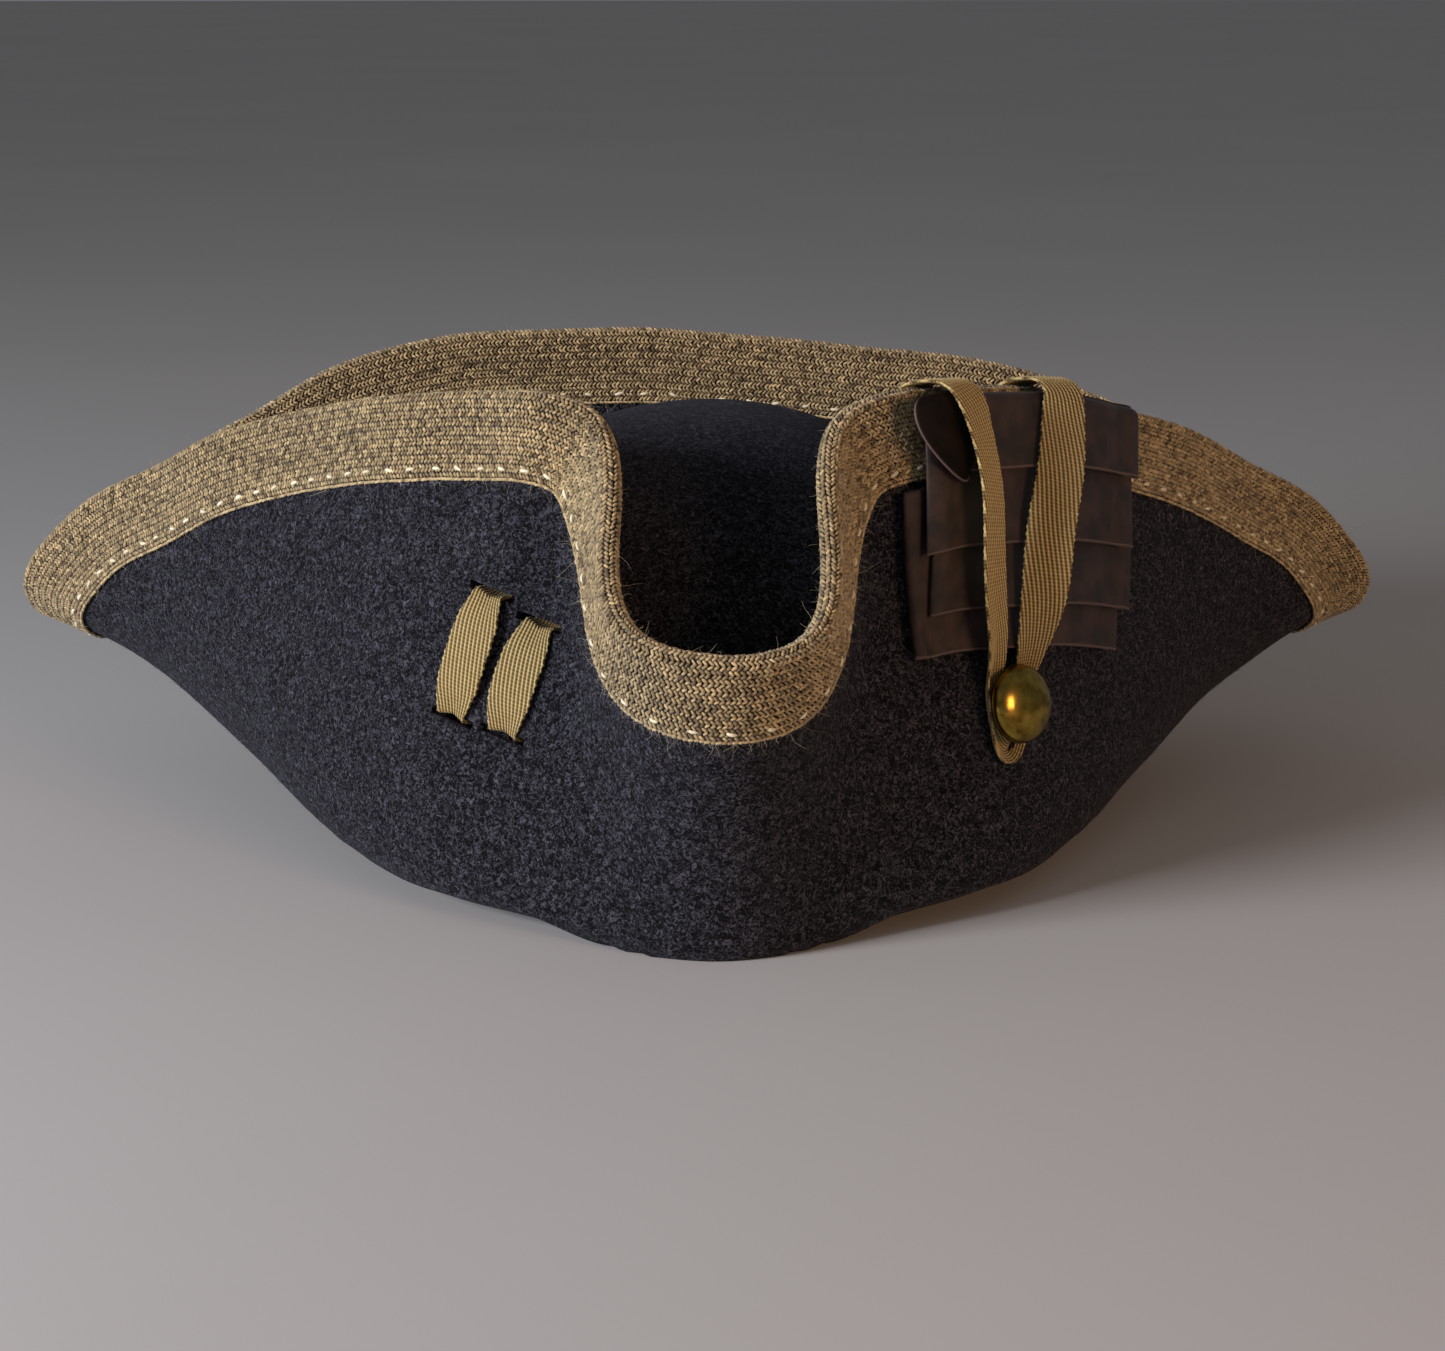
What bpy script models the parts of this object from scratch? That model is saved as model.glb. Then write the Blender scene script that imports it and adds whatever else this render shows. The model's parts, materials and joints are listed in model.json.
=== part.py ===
"""Cocked felt hat: a three cornered hat with a U shaped dip in the front of its brim.

X is across the hat, towards the wearer's left.  -Y is the front, +Z is up.  The origin
is the centre of the head opening at the headline.  Every size is in millimetres; the
meshes are written in metres.

The crown and the brim are one piece of felt.  It is described by its middle surface: a
domed crown on an oval, and a brim whose every section is a curve from the headline down
round a trough and up to the edge.  What is sewn to the brim is placed on that surface by
three numbers: along the edge from the front centre, down from the edge, and lifted off
the middle surface on the face that looks away from the crown.
"""
import math

import bmesh
import bpy
import numpy as np
from mathutils import Matrix

MM = 0.001

# Fit and clearances
GAP = 0.3               # between two pieces that touch on the real hat
SLIT_PLAY = 0.5         # between a tape and the sides of its slit

# Head opening and crown
HEAD_WIDTH = 166.0
HEAD_LENGTH = 200.0
CROWN_HEIGHT = 107.0
CROWN_POWER = 2.3       # 2 is an ellipse; more is squarer in the shoulder
FELT = 3.0

# Lining and sweatband
LINING = 0.5
LINING_GAP = 0.4
LINING_START = 4.0      # height of the lining's lower edge
LINING_SEAM_ROW = 2     # row of the crown, from the headline, where the tip is sewn in
SWEATBAND = 1.2
SWEATBAND_START = 0.5
SWEATBAND_HEIGHT = 34.0
SWEATBAND_JOINT = 1.0   # opening where its ends meet at the back

# Brim edge: x, y, height on the wearer's left, height on the wearer's right
EDGE = [
    (0.0, -150.0, 70.5, 70.5),
    (11.0, -147.5, 71.0, 71.0),
    (21.0, -139.0, 73.5, 73.5),
    (27.0, -125.0, 82.5, 82.5),
    (27.5, -109.0, 98.0, 98.0),
    (27.8, -97.0, 110.5, 110.5),
    (32.0, -88.0, 119.0, 119.5),
    (40.5, -82.5, 122.0, 122.8),
    (55.0, -69.0, 122.0, 122.0),
    (86.0, -40.0, 117.5, 116.0),
    (117.5, -5.0, 106.0, 106.0),
    (140.0, 16.0, 96.5, 97.0),
    (163.0, 39.0, 82.5, 83.0),
    (185.0, 57.0, 69.0, 70.0),
    (199.5, 67.0, 54.0, 56.0),
    (207.0, 76.0, 39.0, 41.0),
    (203.5, 86.0, 31.0, 32.0),
    (192.0, 94.0, 44.0, 45.0),
    (174.0, 98.0, 66.0, 69.0),
    (146.0, 102.0, 84.0, 86.0),
    (120.0, 107.0, 95.0, 100.0),
    (100.0, 110.5, 101.0, 107.5),
    (60.0, 116.0, 106.5, 112.5),
    (28.0, 119.0, 109.0, 113.0),
    (0.0, 120.0, 111.5, 111.5),
]
BRIM_SPREAD = 1.0       # scales how far the edge stands out from the head, front and sides

# Brim sections
TROUGH_REACH = 16.0     # how far the trough stands out from the headline
TROUGH_SPREAD = 0.20    # and its share of the brim's own reach
TROUGH_DROP = 4.0
PROW_DROP = 38.0        # further drop under the front point
PROW_REACH = 20.0       # further reach of the trough under the front point
PROW_WALL = 10.0        # and of the wall above it
WALL_SHARE = 0.62       # share of the wall's height that its lower curve is pulled to
EDGE_RUN = 34.0         # length over which the brim runs straight to its edge
TROUGH_EASE = 0.045     # smoothing round the hat, as shares of the edge
WALL_EASE = 0.030
STRAIGHT_EASE = 0.014
EDGE_EASE = 0.006

CROWN_ROOM = 10.0       # least distance between the crown and the brim above the trough
CROWN_ROOM_START = 0.30 # share of the section over which that distance opens
CROWN_ROOM_EASE = 45.0  # sharpness of the change where it starts to matter

# Resolution
STATIONS = 72
EDGE_CROWDING = 22.0    # extra stations where the edge bends, in mm of radius
CROWN_ROWS = 6
BRIM_ROWS = 7
BRAID_ROWS = 2

# Braid folded over the edge
BRAID_WIDTH = 22.0
BRAID = 1.5
BRAID_GAP = 0.5
BRAID_JOINT = 0.8

# Tapes
TAPE_WIDTH = 13.0
TAPE = 1.2
TAPE_LIE = 1.6          # between a cocking tape and the felt under it
TAPE_END = 2.0          # between its ends and the crown
TAPE_LEG = 0.55         # share of the way to the crown that its ends reach
SLIT_RUN = 3.6          # how far past the middle of the felt a tape runs straight
SLIT_HEIGHT = 4.4
LONGEST_MITRE = 1.5

# Cockade: flattened ribbon loops, lowest first: start and end along, lower edge down
RIBBON = 0.5
RIBBON_HEIGHT = 44.0
LOOP_DEPTH = 1.6
LOOP_STEP = 2.2
LOOP_LIFT = FELT / 2 + 2.1         # back face of the lowest loop
LOOPS = [(91.0, 201.5, 68.0), (102.0, 205.5, 57.0), (104.2, 203.5, 40.5), (108.0, 206.0, 21.0)]
START_LEANS = [0.28, 0.30, 0.22, 0.08]   # along the edge for each mm up, where the loops start
END_LEAN = 0.10         # and where they end
COCKADE_RISE = 1.5      # the top loop's upper edge above the brim edge
BACKING = 0.8
BACKING_INSET = 22.0

# Button, on the wearer's left
BUTTON_ALONG = 137.0
BUTTON_DOWN = 82.5
BUTTON_DIAMETER = 20.5
BUTTON_RISE = 5.6
BUTTON_WALL = 0.7
BUTTON_BACK = 0.8
EYE_RADIUS = 1.6        # to the middle of the eye's wire
EYE_WIRE = 0.5
THREAD_LOOP = 1.5
THREAD = 0.4
STEM = 0.8
STEM_PLAY = 0.4
KNOT_RADIUS = 2.2
KNOT = 1.0

# Loop tape: along, down, lift, tilt in degrees, width; the lifts are for a felt this thick
LOOP_TAPE_FELT = 3.0
LOOP_TAPE_PATH = [
    (165.0, 30.0, -4.6, 0.0, 13.0),
    (165.0, 12.0, -4.9, 0.0, 13.0),
    (165.0, 3.0, -5.0, 0.0, 13.0),
    (165.0, -2.6, -3.6, 2.0, 13.0),
    (165.0, -4.4, 0.0, 4.0, 13.0),
    (165.0, -4.6, 6.0, 6.0, 13.0),
    (164.8, -4.4, 11.0, 8.0, 13.0),
    (164.4, -1.0, 14.4, 12.0, 13.0),
    (162.8, 6.0, 15.2, 18.0, 13.0),
    (158.2, 20.0, 16.6, 28.0, 13.0),
    (151.4, 38.0, 16.0, 36.0, 13.0),
    (147.4, 55.0, 13.2, 34.0, 12.5),
    (146.6, 65.0, 9.2, 18.0, 11.0),
    (146.6, 72.0, 5.8, 4.0, 9.0),
    (146.2, 79.0, 3.4, 0.0, 6.0),
    (143.6, 88.0, 3.2, 0.0, 6.0),
    (139.2, 94.4, 3.2, 4.0, 6.0),
    (133.4, 94.2, 3.8, 10.0, 7.5),
    (129.0, 87.5, 4.6, 14.0, 6.0),
    (127.8, 78.5, 5.2, 14.0, 6.0),
    (127.0, 69.5, 8.8, 26.0, 9.0),
    (125.0, 57.0, 12.4, 30.0, 12.5),
    (125.2, 41.0, 14.8, 30.0, 13.0),
    (127.2, 26.0, 15.8, 24.0, 13.0),
    (128.6, 10.0, 14.4, 14.0, 13.0),
    (126.6, -1.0, 13.6, 6.0, 13.0),
    (125.6, -4.4, 10.6, 4.0, 13.0),
    (125.4, -4.6, 6.0, 2.0, 13.0),
    (125.2, -4.4, 0.0, 0.0, 13.0),
    (125.2, -2.6, -3.6, 0.0, 13.0),
    (125.5, 3.0, -5.0, 0.0, 13.0),
    (126.0, 12.0, -4.9, 0.0, 13.0),
    (127.0, 30.0, -4.6, 0.0, 13.0),
]

# Cocking tapes: along and down of the upper and the lower slit, measured from the front
# centre, or from the back centre for the back pair
COCKING_TAPES = {
    "cocking_tape_left_front": (-84.0, 49.5, -93.0, 85.0),
    "cocking_tape_left_rear": (-101.0 - TAPE_WIDTH, 51.0, -112.0 - TAPE_WIDTH, 84.0),
}
BACK_TAPES = {
    "cocking_tape_back_left": (-38.0, 52.0, -44.0, 88.0),
    "cocking_tape_back_right": (38.0, 52.0, 44.0, 88.0),
}

UP = np.array([0.0, 0.0, 1.0])


# ---------------------------------------------------------------- small helpers

def unit(vectors):
    """Vectors scaled to length one."""
    return vectors / np.linalg.norm(vectors, axis=-1, keepdims=True)


def mix(a, b, share):
    """The point a share of the way from a to b."""
    return a * (1.0 - share) + b * share


def across(vectors, direction):
    """What is left of the vectors at right angles to a unit direction."""
    return vectors - np.sum(vectors * direction, axis=-1, keepdims=True) * direction


def remove_everything():
    for thing in list(bpy.data.objects):
        bpy.data.objects.remove(thing, do_unlink=True)


def make_material(name, colour, roughness, metallic=0.0):
    material = bpy.data.materials.new(name)
    material.use_nodes = True
    shader = material.node_tree.nodes["Principled BSDF"]
    shader.inputs["Base Color"].default_value = (*colour, 1.0)
    shader.inputs["Roughness"].default_value = roughness
    shader.inputs["Metallic"].default_value = metallic
    material.diffuse_color = (*colour, 1.0)
    return material


def add_object(name, mesh, material, smooth_angle=40.0):
    mesh.materials.append(material)
    mesh.shade_smooth()
    mesh.set_sharp_from_angle(angle=math.radians(smooth_angle))
    thing = bpy.data.objects.new(name, mesh)
    bpy.context.collection.objects.link(thing)
    return thing


def split_short(points, face):
    """A four sided face as two triangles along its shorter diagonal."""
    if len(face) != 4:
        return [face]
    a, b, c, d = face
    if np.linalg.norm(points[a] - points[c]) <= np.linalg.norm(points[b] - points[d]):
        return [(a, b, c), (a, c, d)]
    return [(a, b, d), (b, c, d)]


def mesh_from(name, points, faces):
    """A mesh from points in millimetres, with its faces turned outwards."""
    work = bmesh.new()
    corners = [work.verts.new(tuple(point * MM)) for point in points]
    for face in faces:
        for part in split_short(points, face):
            work.faces.new([corners[k] for k in part])
    bmesh.ops.recalc_face_normals(work, faces=work.faces)
    mesh = bpy.data.meshes.new(name)
    work.to_mesh(mesh)
    work.free()
    return mesh


def slab_mesh(name, front, back, closed, poles=None):
    """A closed solid between two grids of points.

    front and back are arrays of rows along the piece by columns across it.  closed joins
    the last row to the first.  poles are a front and a back point that close column 0.
    """
    rows, columns = front.shape[:2]
    points = np.concatenate([front.reshape(-1, 3), back.reshape(-1, 3)])
    offset = rows * columns
    faces = []
    spans = rows if closed else rows - 1
    for i in range(spans):
        j = (i + 1) % rows
        for k in range(columns - 1):
            a, b = i * columns + k, j * columns + k
            faces.append((a, b, b + 1, a + 1))
            faces.append((offset + a, offset + a + 1, offset + b + 1, offset + b))
        last_a, last_b = (i + 1) * columns - 1, (j + 1) * columns - 1
        faces.append((last_a, last_b, offset + last_b, offset + last_a))
        first_a, first_b = i * columns, j * columns
        if poles is None:
            faces.append((first_b, first_a, offset + first_a, offset + first_b))
        else:
            faces.append((2 * offset, first_b, first_a))
            faces.append((2 * offset + 1, offset + first_a, offset + first_b))
    if not closed:
        for i, turn in ((0, 1), (rows - 1, -1)):
            for k in range(columns - 1):
                a = i * columns + k
                faces.append((a, a + 1, offset + a + 1, offset + a)[::turn])
    if poles is not None:
        points = np.concatenate([points, np.array(poles)])
    return mesh_from(name, points, faces)


def smooth_round(values, share):
    """Gaussian mean round a closed ring; share is its width as a share of the ring."""
    count = len(values)
    steps = np.arange(count)
    reach = np.minimum(steps, count - steps) / count
    weights = np.exp(-0.5 * (reach / share) ** 2)
    weights /= weights.sum()
    blurred = np.fft.rfft(values, axis=0) * np.fft.rfft(weights)[:, None]
    return np.fft.irfft(blurred, count, axis=0)


def curve_through(knots, points_per_span, closed):
    """A natural or closed cubic curve through knots of any dimension."""
    knots = np.asarray(knots, float)
    count = len(knots)
    after = np.roll(knots, -1, axis=0)
    spans = np.linalg.norm((after - knots)[:, :3], axis=1)
    system = np.eye(count)
    right = np.zeros_like(knots)
    for i in range(0 if closed else 1, count if closed else count - 1):
        before, here = spans[i - 1], spans[i]
        system[i, i] = 2.0 * (before + here)
        system[i, i - 1] += before
        system[i, (i + 1) % count] += here
        rise_after = (knots[(i + 1) % count] - knots[i]) / here
        rise_before = (knots[i] - knots[i - 1]) / before
        right[i] = 6.0 * (rise_after - rise_before)
    bend = np.linalg.solve(system, right)
    curve = []
    for i in range(count if closed else count - 1):
        j = (i + 1) % count
        for q in range(points_per_span):
            s = q / points_per_span
            r = 1.0 - s
            straight = knots[i] * r + knots[j] * s
            curve.append(straight + ((r ** 3 - r) * bend[i] + (s ** 3 - s) * bend[j]) * spans[i] ** 2 / 6.0)
    if not closed:
        curve.append(knots[-1])
    return np.array(curve)


def arc_lengths(points, closed):
    """Length along a polyline at each point, and its whole length when closed."""
    ends = np.roll(points, -1, axis=0) if closed else points[1:]
    starts = points if closed else points[:-1]
    steps = np.linalg.norm(ends - starts, axis=1)
    return np.concatenate([[0.0], np.cumsum(steps)])


def at_lengths(wanted, lengths, points):
    """Points of a polyline at the wanted lengths."""
    return np.stack([np.interp(wanted, lengths, points[:, k]) for k in range(points.shape[1])], axis=1)


# ---------------------------------------------------------------- the middle surface

def crown_halves(inset=0.0):
    """Half the width and half the length of the crown at the headline."""
    layers = SWEATBAND + GAP + LINING + LINING_GAP + FELT / 2 - inset
    return HEAD_WIDTH / 2 + layers, HEAD_LENGTH / 2 + layers


def crown_oval(angles, inset=0.0):
    """The crown's oval at the headline; angle 0 is the front, growing to the wearer's left."""
    half_width, half_length = crown_halves(inset)
    x, y = half_width * np.sin(angles), -half_length * np.cos(angles)
    outward = np.stack([np.sin(angles) / half_width, -np.cos(angles) / half_length, 0 * angles], axis=1)
    return np.stack([x, y, 0 * angles], axis=1), unit(outward)


def crown_row(angles, profile_angle, inset=0.0):
    """One level ring of the crown, at an angle round its profile: 0 headline, 90 top."""
    oval, _ = crown_oval(angles, inset)
    shrink = math.cos(math.radians(profile_angle)) ** (2 / CROWN_POWER)
    height = (CROWN_HEIGHT - inset) * math.sin(math.radians(profile_angle)) ** (2 / CROWN_POWER)
    return oval * shrink + UP * height


def crown_angle_at(height):
    """The profile angle at which the crown's ring has a height."""
    return math.degrees(math.asin((height / CROWN_HEIGHT) ** (CROWN_POWER / 2)))


def edge_loop():
    """The brim's edge as a closed curve from the front centre round the wearer's left."""
    left = [(x, y, high_left) for x, y, high_left, _ in EDGE]
    right = [(-x, y, high_right) for x, y, _, high_right in reversed(EDGE[1:-1])]
    knots = np.array(left + right)
    knots[:, :2] *= BRIM_SPREAD
    fine = curve_through(knots, 30, closed=True)
    lengths = arc_lengths(fine, closed=True)
    wanted = np.linspace(0.0, lengths[-1], 960, endpoint=False)
    return at_lengths(wanted, lengths, np.concatenate([fine, fine[:1]])), lengths[-1]


def brim_controls():
    """Five control points of the brim's section all round the edge, and the edge's length."""
    edge, edge_length = edge_loop()
    angles = np.linspace(0.0, 2 * math.pi, len(edge), endpoint=False)
    headline, outward = crown_oval(angles)
    run = unit(np.roll(edge, -1, axis=0) - np.roll(edge, 1, axis=0))
    reach = np.linalg.norm((edge - headline)[:, :2], axis=1, keepdims=True)
    prow = ((1.0 + np.cos(angles)) / 2)[:, None] ** 2
    trough = headline + outward * (TROUGH_REACH + TROUGH_SPREAD * reach + PROW_REACH * prow)
    trough = smooth_round(trough - UP * (TROUGH_DROP + PROW_DROP * prow), TROUGH_EASE)
    rising = unit(across(edge - trough, run))
    rising = unit(across(smooth_round(rising, EDGE_EASE), run))
    height = np.linalg.norm(edge - trough, axis=1, keepdims=True)
    wall = smooth_round(edge - rising * height * WALL_SHARE + outward * PROW_WALL * prow, WALL_EASE)
    straight = smooth_round(edge - rising * EDGE_RUN, STRAIGHT_EASE)
    return (headline, trough, wall, straight, edge), edge_length


def bezier(controls, share):
    """A point of a curve of five control points."""
    rest = 1.0 - share
    weights = (rest ** 4, 4 * share * rest ** 3, 6 * share ** 2 * rest ** 2, 4 * share ** 3 * rest, share ** 4)
    return sum(weight * point for weight, point in zip(weights, controls))


def clear_of_crown(sections, shares):
    """Brim sections pushed straight out where they would stand too near the crown."""
    half_width, half_length = crown_halves()
    height = np.clip(sections[..., 2], 0.0, CROWN_HEIGHT)
    shrink = (1.0 - (height / CROWN_HEIGHT) ** CROWN_POWER) ** (1 / CROWN_POWER)
    ease = np.clip(shares / CROWN_ROOM_START, 0.0, 1.0)
    room = CROWN_ROOM * ease ** 2 * (3.0 - 2.0 * ease)
    reach = np.hypot(sections[..., 0] / half_width, sections[..., 1] / half_length)
    short = (shrink + room / half_width) / np.maximum(reach, 0.2) - 1.0
    push = 1.0 + np.log1p(np.exp(np.clip(short, -0.5, 0.5) * CROWN_ROOM_EASE)) / CROWN_ROOM_EASE
    push = mix(1.0, push, ease)
    return sections * np.stack([push, push, np.ones_like(push)], axis=-1)


def station_arcs(edge, edge_length):
    """Places along the edge, closer together where it bends."""
    run = unit(np.roll(edge, -1, axis=0) - edge)
    bend = np.linalg.norm(run - np.roll(run, 1, axis=0), axis=1) * len(edge) / edge_length
    bend = smooth_round(bend[:, None], EDGE_EASE)[:, 0]
    crowd = np.concatenate([[0.0], np.cumsum(1.0 + EDGE_CROWDING * bend)])
    wanted = np.linspace(0.0, crowd[-1], STATIONS, endpoint=False)
    return np.interp(wanted, crowd, np.linspace(0.0, edge_length, len(crowd)))


class MiddleSurface:
    """The felt's middle surface as a grid of stations round the hat by rows from the top."""

    def __init__(self):
        controls, self.edge_length = brim_controls()
        self.arcs = station_arcs(controls[-1], self.edge_length)
        fine_arcs = np.linspace(0.0, self.edge_length, len(controls[0]) + 1)
        closed = [np.concatenate([points, points[:1]]) for points in controls]
        controls = [at_lengths(self.arcs, fine_arcs, points) for points in closed]
        self.angles = 2 * math.pi * self.arcs / self.edge_length
        brim, self.downs = self.brim_rows(controls)
        steps = np.linspace(90.0, 0.0, CROWN_ROWS + 1)[1:-1]
        crown = [crown_row(self.angles, step) for step in steps]
        self.grid = np.concatenate([np.stack(crown, axis=1), brim], axis=1)
        self.brim_start = len(crown)
        self.normals = self.find_normals()
        self.rising = unit(self.grid[:, -1] - self.grid[:, -2])

    def brim_rows(self, controls):
        """Rows at even shares of each section, then rows at fixed depths under the braid."""
        shares = np.linspace(0.0, 1.0, 81)
        fine = np.stack([bezier(controls, share) for share in shares], axis=1)
        fine = clear_of_crown(fine, shares)
        depths = BRAID_WIDTH * np.linspace(1.0, 0.0, BRAID_ROWS + 1)
        rows = np.zeros((STATIONS, BRIM_ROWS + len(depths), 3))
        downs = np.zeros(rows.shape[:2])
        for i in range(STATIONS):
            lengths = arc_lengths(fine[i], closed=False)
            total = lengths[-1]
            body = np.linspace(total, BRAID_WIDTH, BRIM_ROWS, endpoint=False)
            downs[i] = np.concatenate([body, depths])
            rows[i] = at_lengths(total - downs[i], lengths, fine[i])
        return rows, downs

    def find_normals(self):
        """Unit normals on the side that looks out of the crown."""
        around = np.roll(self.grid, -1, axis=0) - np.roll(self.grid, 1, axis=0)
        along = np.gradient(self.grid, axis=1)
        return unit(np.cross(along, around))

    def blend(self, arc, table):
        """The two neighbouring stations of a place along the edge, mixed by a function."""
        arc = arc % self.edge_length
        i = int(np.searchsorted(self.arcs, arc, side="right")) - 1
        j = (i + 1) % STATIONS
        end = self.arcs[j] if j else self.edge_length
        return mix(table(i), table(j), (arc - self.arcs[i]) / (end - self.arcs[i]))

    def at_depth(self, station, values, down):
        """A station's values at a depth below the edge."""
        depths = self.downs[station][::-1]
        column = values[station, self.brim_start:][::-1]
        return np.array([np.interp(down, depths, column[:, k]) for k in range(3)])

    def point(self, along, down, lift):
        """A point on the brim, lifted off the face that looks away from the crown."""
        depth = max(down, 0.0)
        place = self.blend(along, lambda i: self.at_depth(i, self.grid, depth))
        rising = self.blend(along, lambda i: self.rising[i])
        return place + rising * max(-down, 0.0) + self.normal(along, down) * lift

    def normal(self, along, down):
        depth = max(down, 0.0)
        return -unit(self.blend(along, lambda i: self.at_depth(i, self.normals, depth)))


# ---------------------------------------------------------------- felt

def placed(thing, place, third, first):
    """Puts an object at a point, its local Z on third and its local X near first."""
    z_axis = unit(third)
    x_axis = unit(across(first, z_axis))
    y_axis = np.cross(z_axis, x_axis)
    columns = (x_axis, y_axis, z_axis, place * MM)
    rows = [[column[row] for column in columns] for row in range(3)]
    thing.matrix_world = Matrix([*rows, [0.0, 0.0, 0.0, 1.0]])
    return thing


def box_cutter(name, size, place, third, first):
    mesh = bpy.data.meshes.new(name)
    work = bmesh.new()
    bmesh.ops.create_cube(work, size=1.0)
    bmesh.ops.scale(work, vec=tuple(side * MM for side in size), verts=work.verts)
    work.to_mesh(mesh)
    work.free()
    return finish_cutter(name, mesh, place, third, first)


def round_cutter(name, radius, depth, place, third, first):
    mesh = bpy.data.meshes.new(name)
    work = bmesh.new()
    bmesh.ops.create_cone(work, cap_ends=True, segments=20, radius1=radius * MM, radius2=radius * MM, depth=depth * MM)
    work.to_mesh(mesh)
    work.free()
    return finish_cutter(name, mesh, place, third, first)


def finish_cutter(name, mesh, place, third, first):
    cutter = bpy.data.objects.new(name, mesh)
    bpy.context.collection.objects.link(cutter)
    cutter.hide_render = True
    cutter.display_type = "WIRE"
    return placed(cutter, place, third, first)


def cut(target, cutter):
    modifier = target.modifiers.new(cutter.name, "BOOLEAN")
    modifier.operation = "DIFFERENCE"
    modifier.solver = "EXACT"
    modifier.object = cutter


def make_felt(surface, material):
    """Crown and brim: one felt of even thickness, closed by a rim at the edge."""
    front = surface.grid + surface.normals * FELT / 2
    back = surface.grid - surface.normals * FELT / 2
    top = UP * (CROWN_HEIGHT + FELT / 2)
    under = UP * (CROWN_HEIGHT - FELT / 2)
    mesh = slab_mesh("felt_body", front, back, closed=True, poles=(top, under))
    return add_object("felt_body", mesh, material, smooth_angle=70.0)


# ---------------------------------------------------------------- braid, lining, sweatband

def make_braid(surface, material):
    """Braid folded over the brim's edge, its ends butted at the back centre."""
    inside, outside = FELT / 2 + BRAID_GAP, FELT / 2 + BRAID_GAP + BRAID
    back = surface.edge_length / 2
    arcs = [arc for arc in surface.arcs if abs(arc - back) > 2 * BRAID_JOINT]
    behind = [arc for arc in arcs if arc > back]
    before = [arc for arc in arcs if arc < back]
    arcs = [back + BRAID_JOINT / 2, *behind, *before, back - BRAID_JOINT / 2]
    depths = BRAID_WIDTH * np.linspace(1.0, 0.0, BRAID_ROWS + 1)
    outer_rows, inner_rows = [], []
    for arc in arcs:
        outer = [surface.point(arc, depth, outside) for depth in depths]
        inner = [surface.point(arc, depth, inside) for depth in depths]
        for side in (1.0, -1.0):
            outer.append(surface.point(arc, -BRAID_GAP - BRAID, outside * side * 0.6))
            inner.append(surface.point(arc, -BRAID_GAP, inside * side))
        outer += [surface.point(arc, depth, -outside) for depth in depths[::-1]]
        inner += [surface.point(arc, depth, -inside) for depth in depths[::-1]]
        outer_rows.append(outer)
        inner_rows.append(inner)
    mesh = slab_mesh("edge_braid", np.array(outer_rows), np.array(inner_rows), closed=False)
    return add_object("edge_braid", mesh, material)


def crown_layer(surface, heights, inset, stations=None):
    """Points inside the crown at given heights, an inset inwards from its middle surface."""
    keep = range(STATIONS) if stations is None else stations
    rows = np.zeros((len(keep), len(heights), 3))
    for i, station in enumerate(keep):
        column = surface.grid[station, :surface.brim_start + 1][::-1]
        normals = surface.normals[station, :surface.brim_start + 1][::-1]
        for k, height in enumerate(heights):
            place = np.array([np.interp(height, column[:, 2], column[:, axis]) for axis in range(3)])
            normal = np.array([np.interp(height, column[:, 2], normals[:, axis]) for axis in range(3)])
            rows[i, k] = place - unit(normal) * inset
    return rows


def make_lining(surface, side_material, tip_material):
    """Cloth lining: a side piece sewn round an oval tip."""
    crown_heights = surface.grid[0, :surface.brim_start, 2][::-1]
    seam = crown_heights[LINING_SEAM_ROW]
    insets = (FELT / 2 + LINING_GAP, FELT / 2 + LINING_GAP + LINING)
    below = [LINING_START, *[height for height in crown_heights if height < seam], seam - GAP]
    above = [height for height in crown_heights[::-1] if height > seam] + [seam + GAP]
    sides = [crown_layer(surface, below, inset) for inset in insets]
    tips = [crown_layer(surface, above, inset) for inset in insets]
    poles = [UP * (CROWN_HEIGHT - inset) for inset in insets]
    add_object("lining_side", slab_mesh("lining_side", *sides, closed=True), side_material)
    add_object("lining_tip", slab_mesh("lining_tip", *tips, closed=True, poles=poles), tip_material)


def make_sweatband(surface, material):
    """Leather band round the inside of the headline, its ends butted at the back."""
    outer_inset = FELT / 2 + LINING_GAP + LINING + GAP
    rear = STATIONS // 2
    stations = [(rear + 1 + k) % STATIONS for k in range(STATIONS - 1)]
    crown_heights = surface.grid[0, :surface.brim_start, 2][::-1]
    between = [height for height in crown_heights if height < SWEATBAND_HEIGHT]
    heights = [SWEATBAND_START, *between, SWEATBAND_HEIGHT]
    faces = []
    for inset in (outer_inset, outer_inset + SWEATBAND):
        rows = crown_layer(surface, heights, inset, stations)
        middle = crown_layer(surface, heights, inset, [rear])
        opening = np.array([SWEATBAND_JOINT / 2, 0.0, 0.0])
        faces.append(np.concatenate([middle - opening, rows, middle + opening]))
    return add_object("sweatband", slab_mesh("sweatband", *faces, closed=False), material)


# ---------------------------------------------------------------- tapes

def ribbon_mesh(name, path, sides, widths, thickness):
    """A flat strip along a path; sides give the direction of its width at each point."""
    steps = unit(path[1:] - path[:-1])
    tangents = unit(np.concatenate([steps[:1], steps[1:] + steps[:-1], steps[-1:]]))
    sides = unit(across(sides, tangents))
    faces = np.cross(tangents, sides)
    mitre = np.ones(len(path))
    mitre[1:-1] = 1.0 / np.maximum(np.sum(tangents[1:-1] * steps[1:], axis=1), 1.0 / LONGEST_MITRE)
    half_width = (widths / 2)[:, None] * sides
    half_depth = (thickness / 2 * mitre)[:, None] * faces
    front = np.stack([path + half_depth - half_width, path + half_depth + half_width], axis=1)
    back = np.stack([path - half_depth - half_width, path - half_depth + half_width], axis=1)
    return slab_mesh(name, front, back, closed=False)


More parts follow.
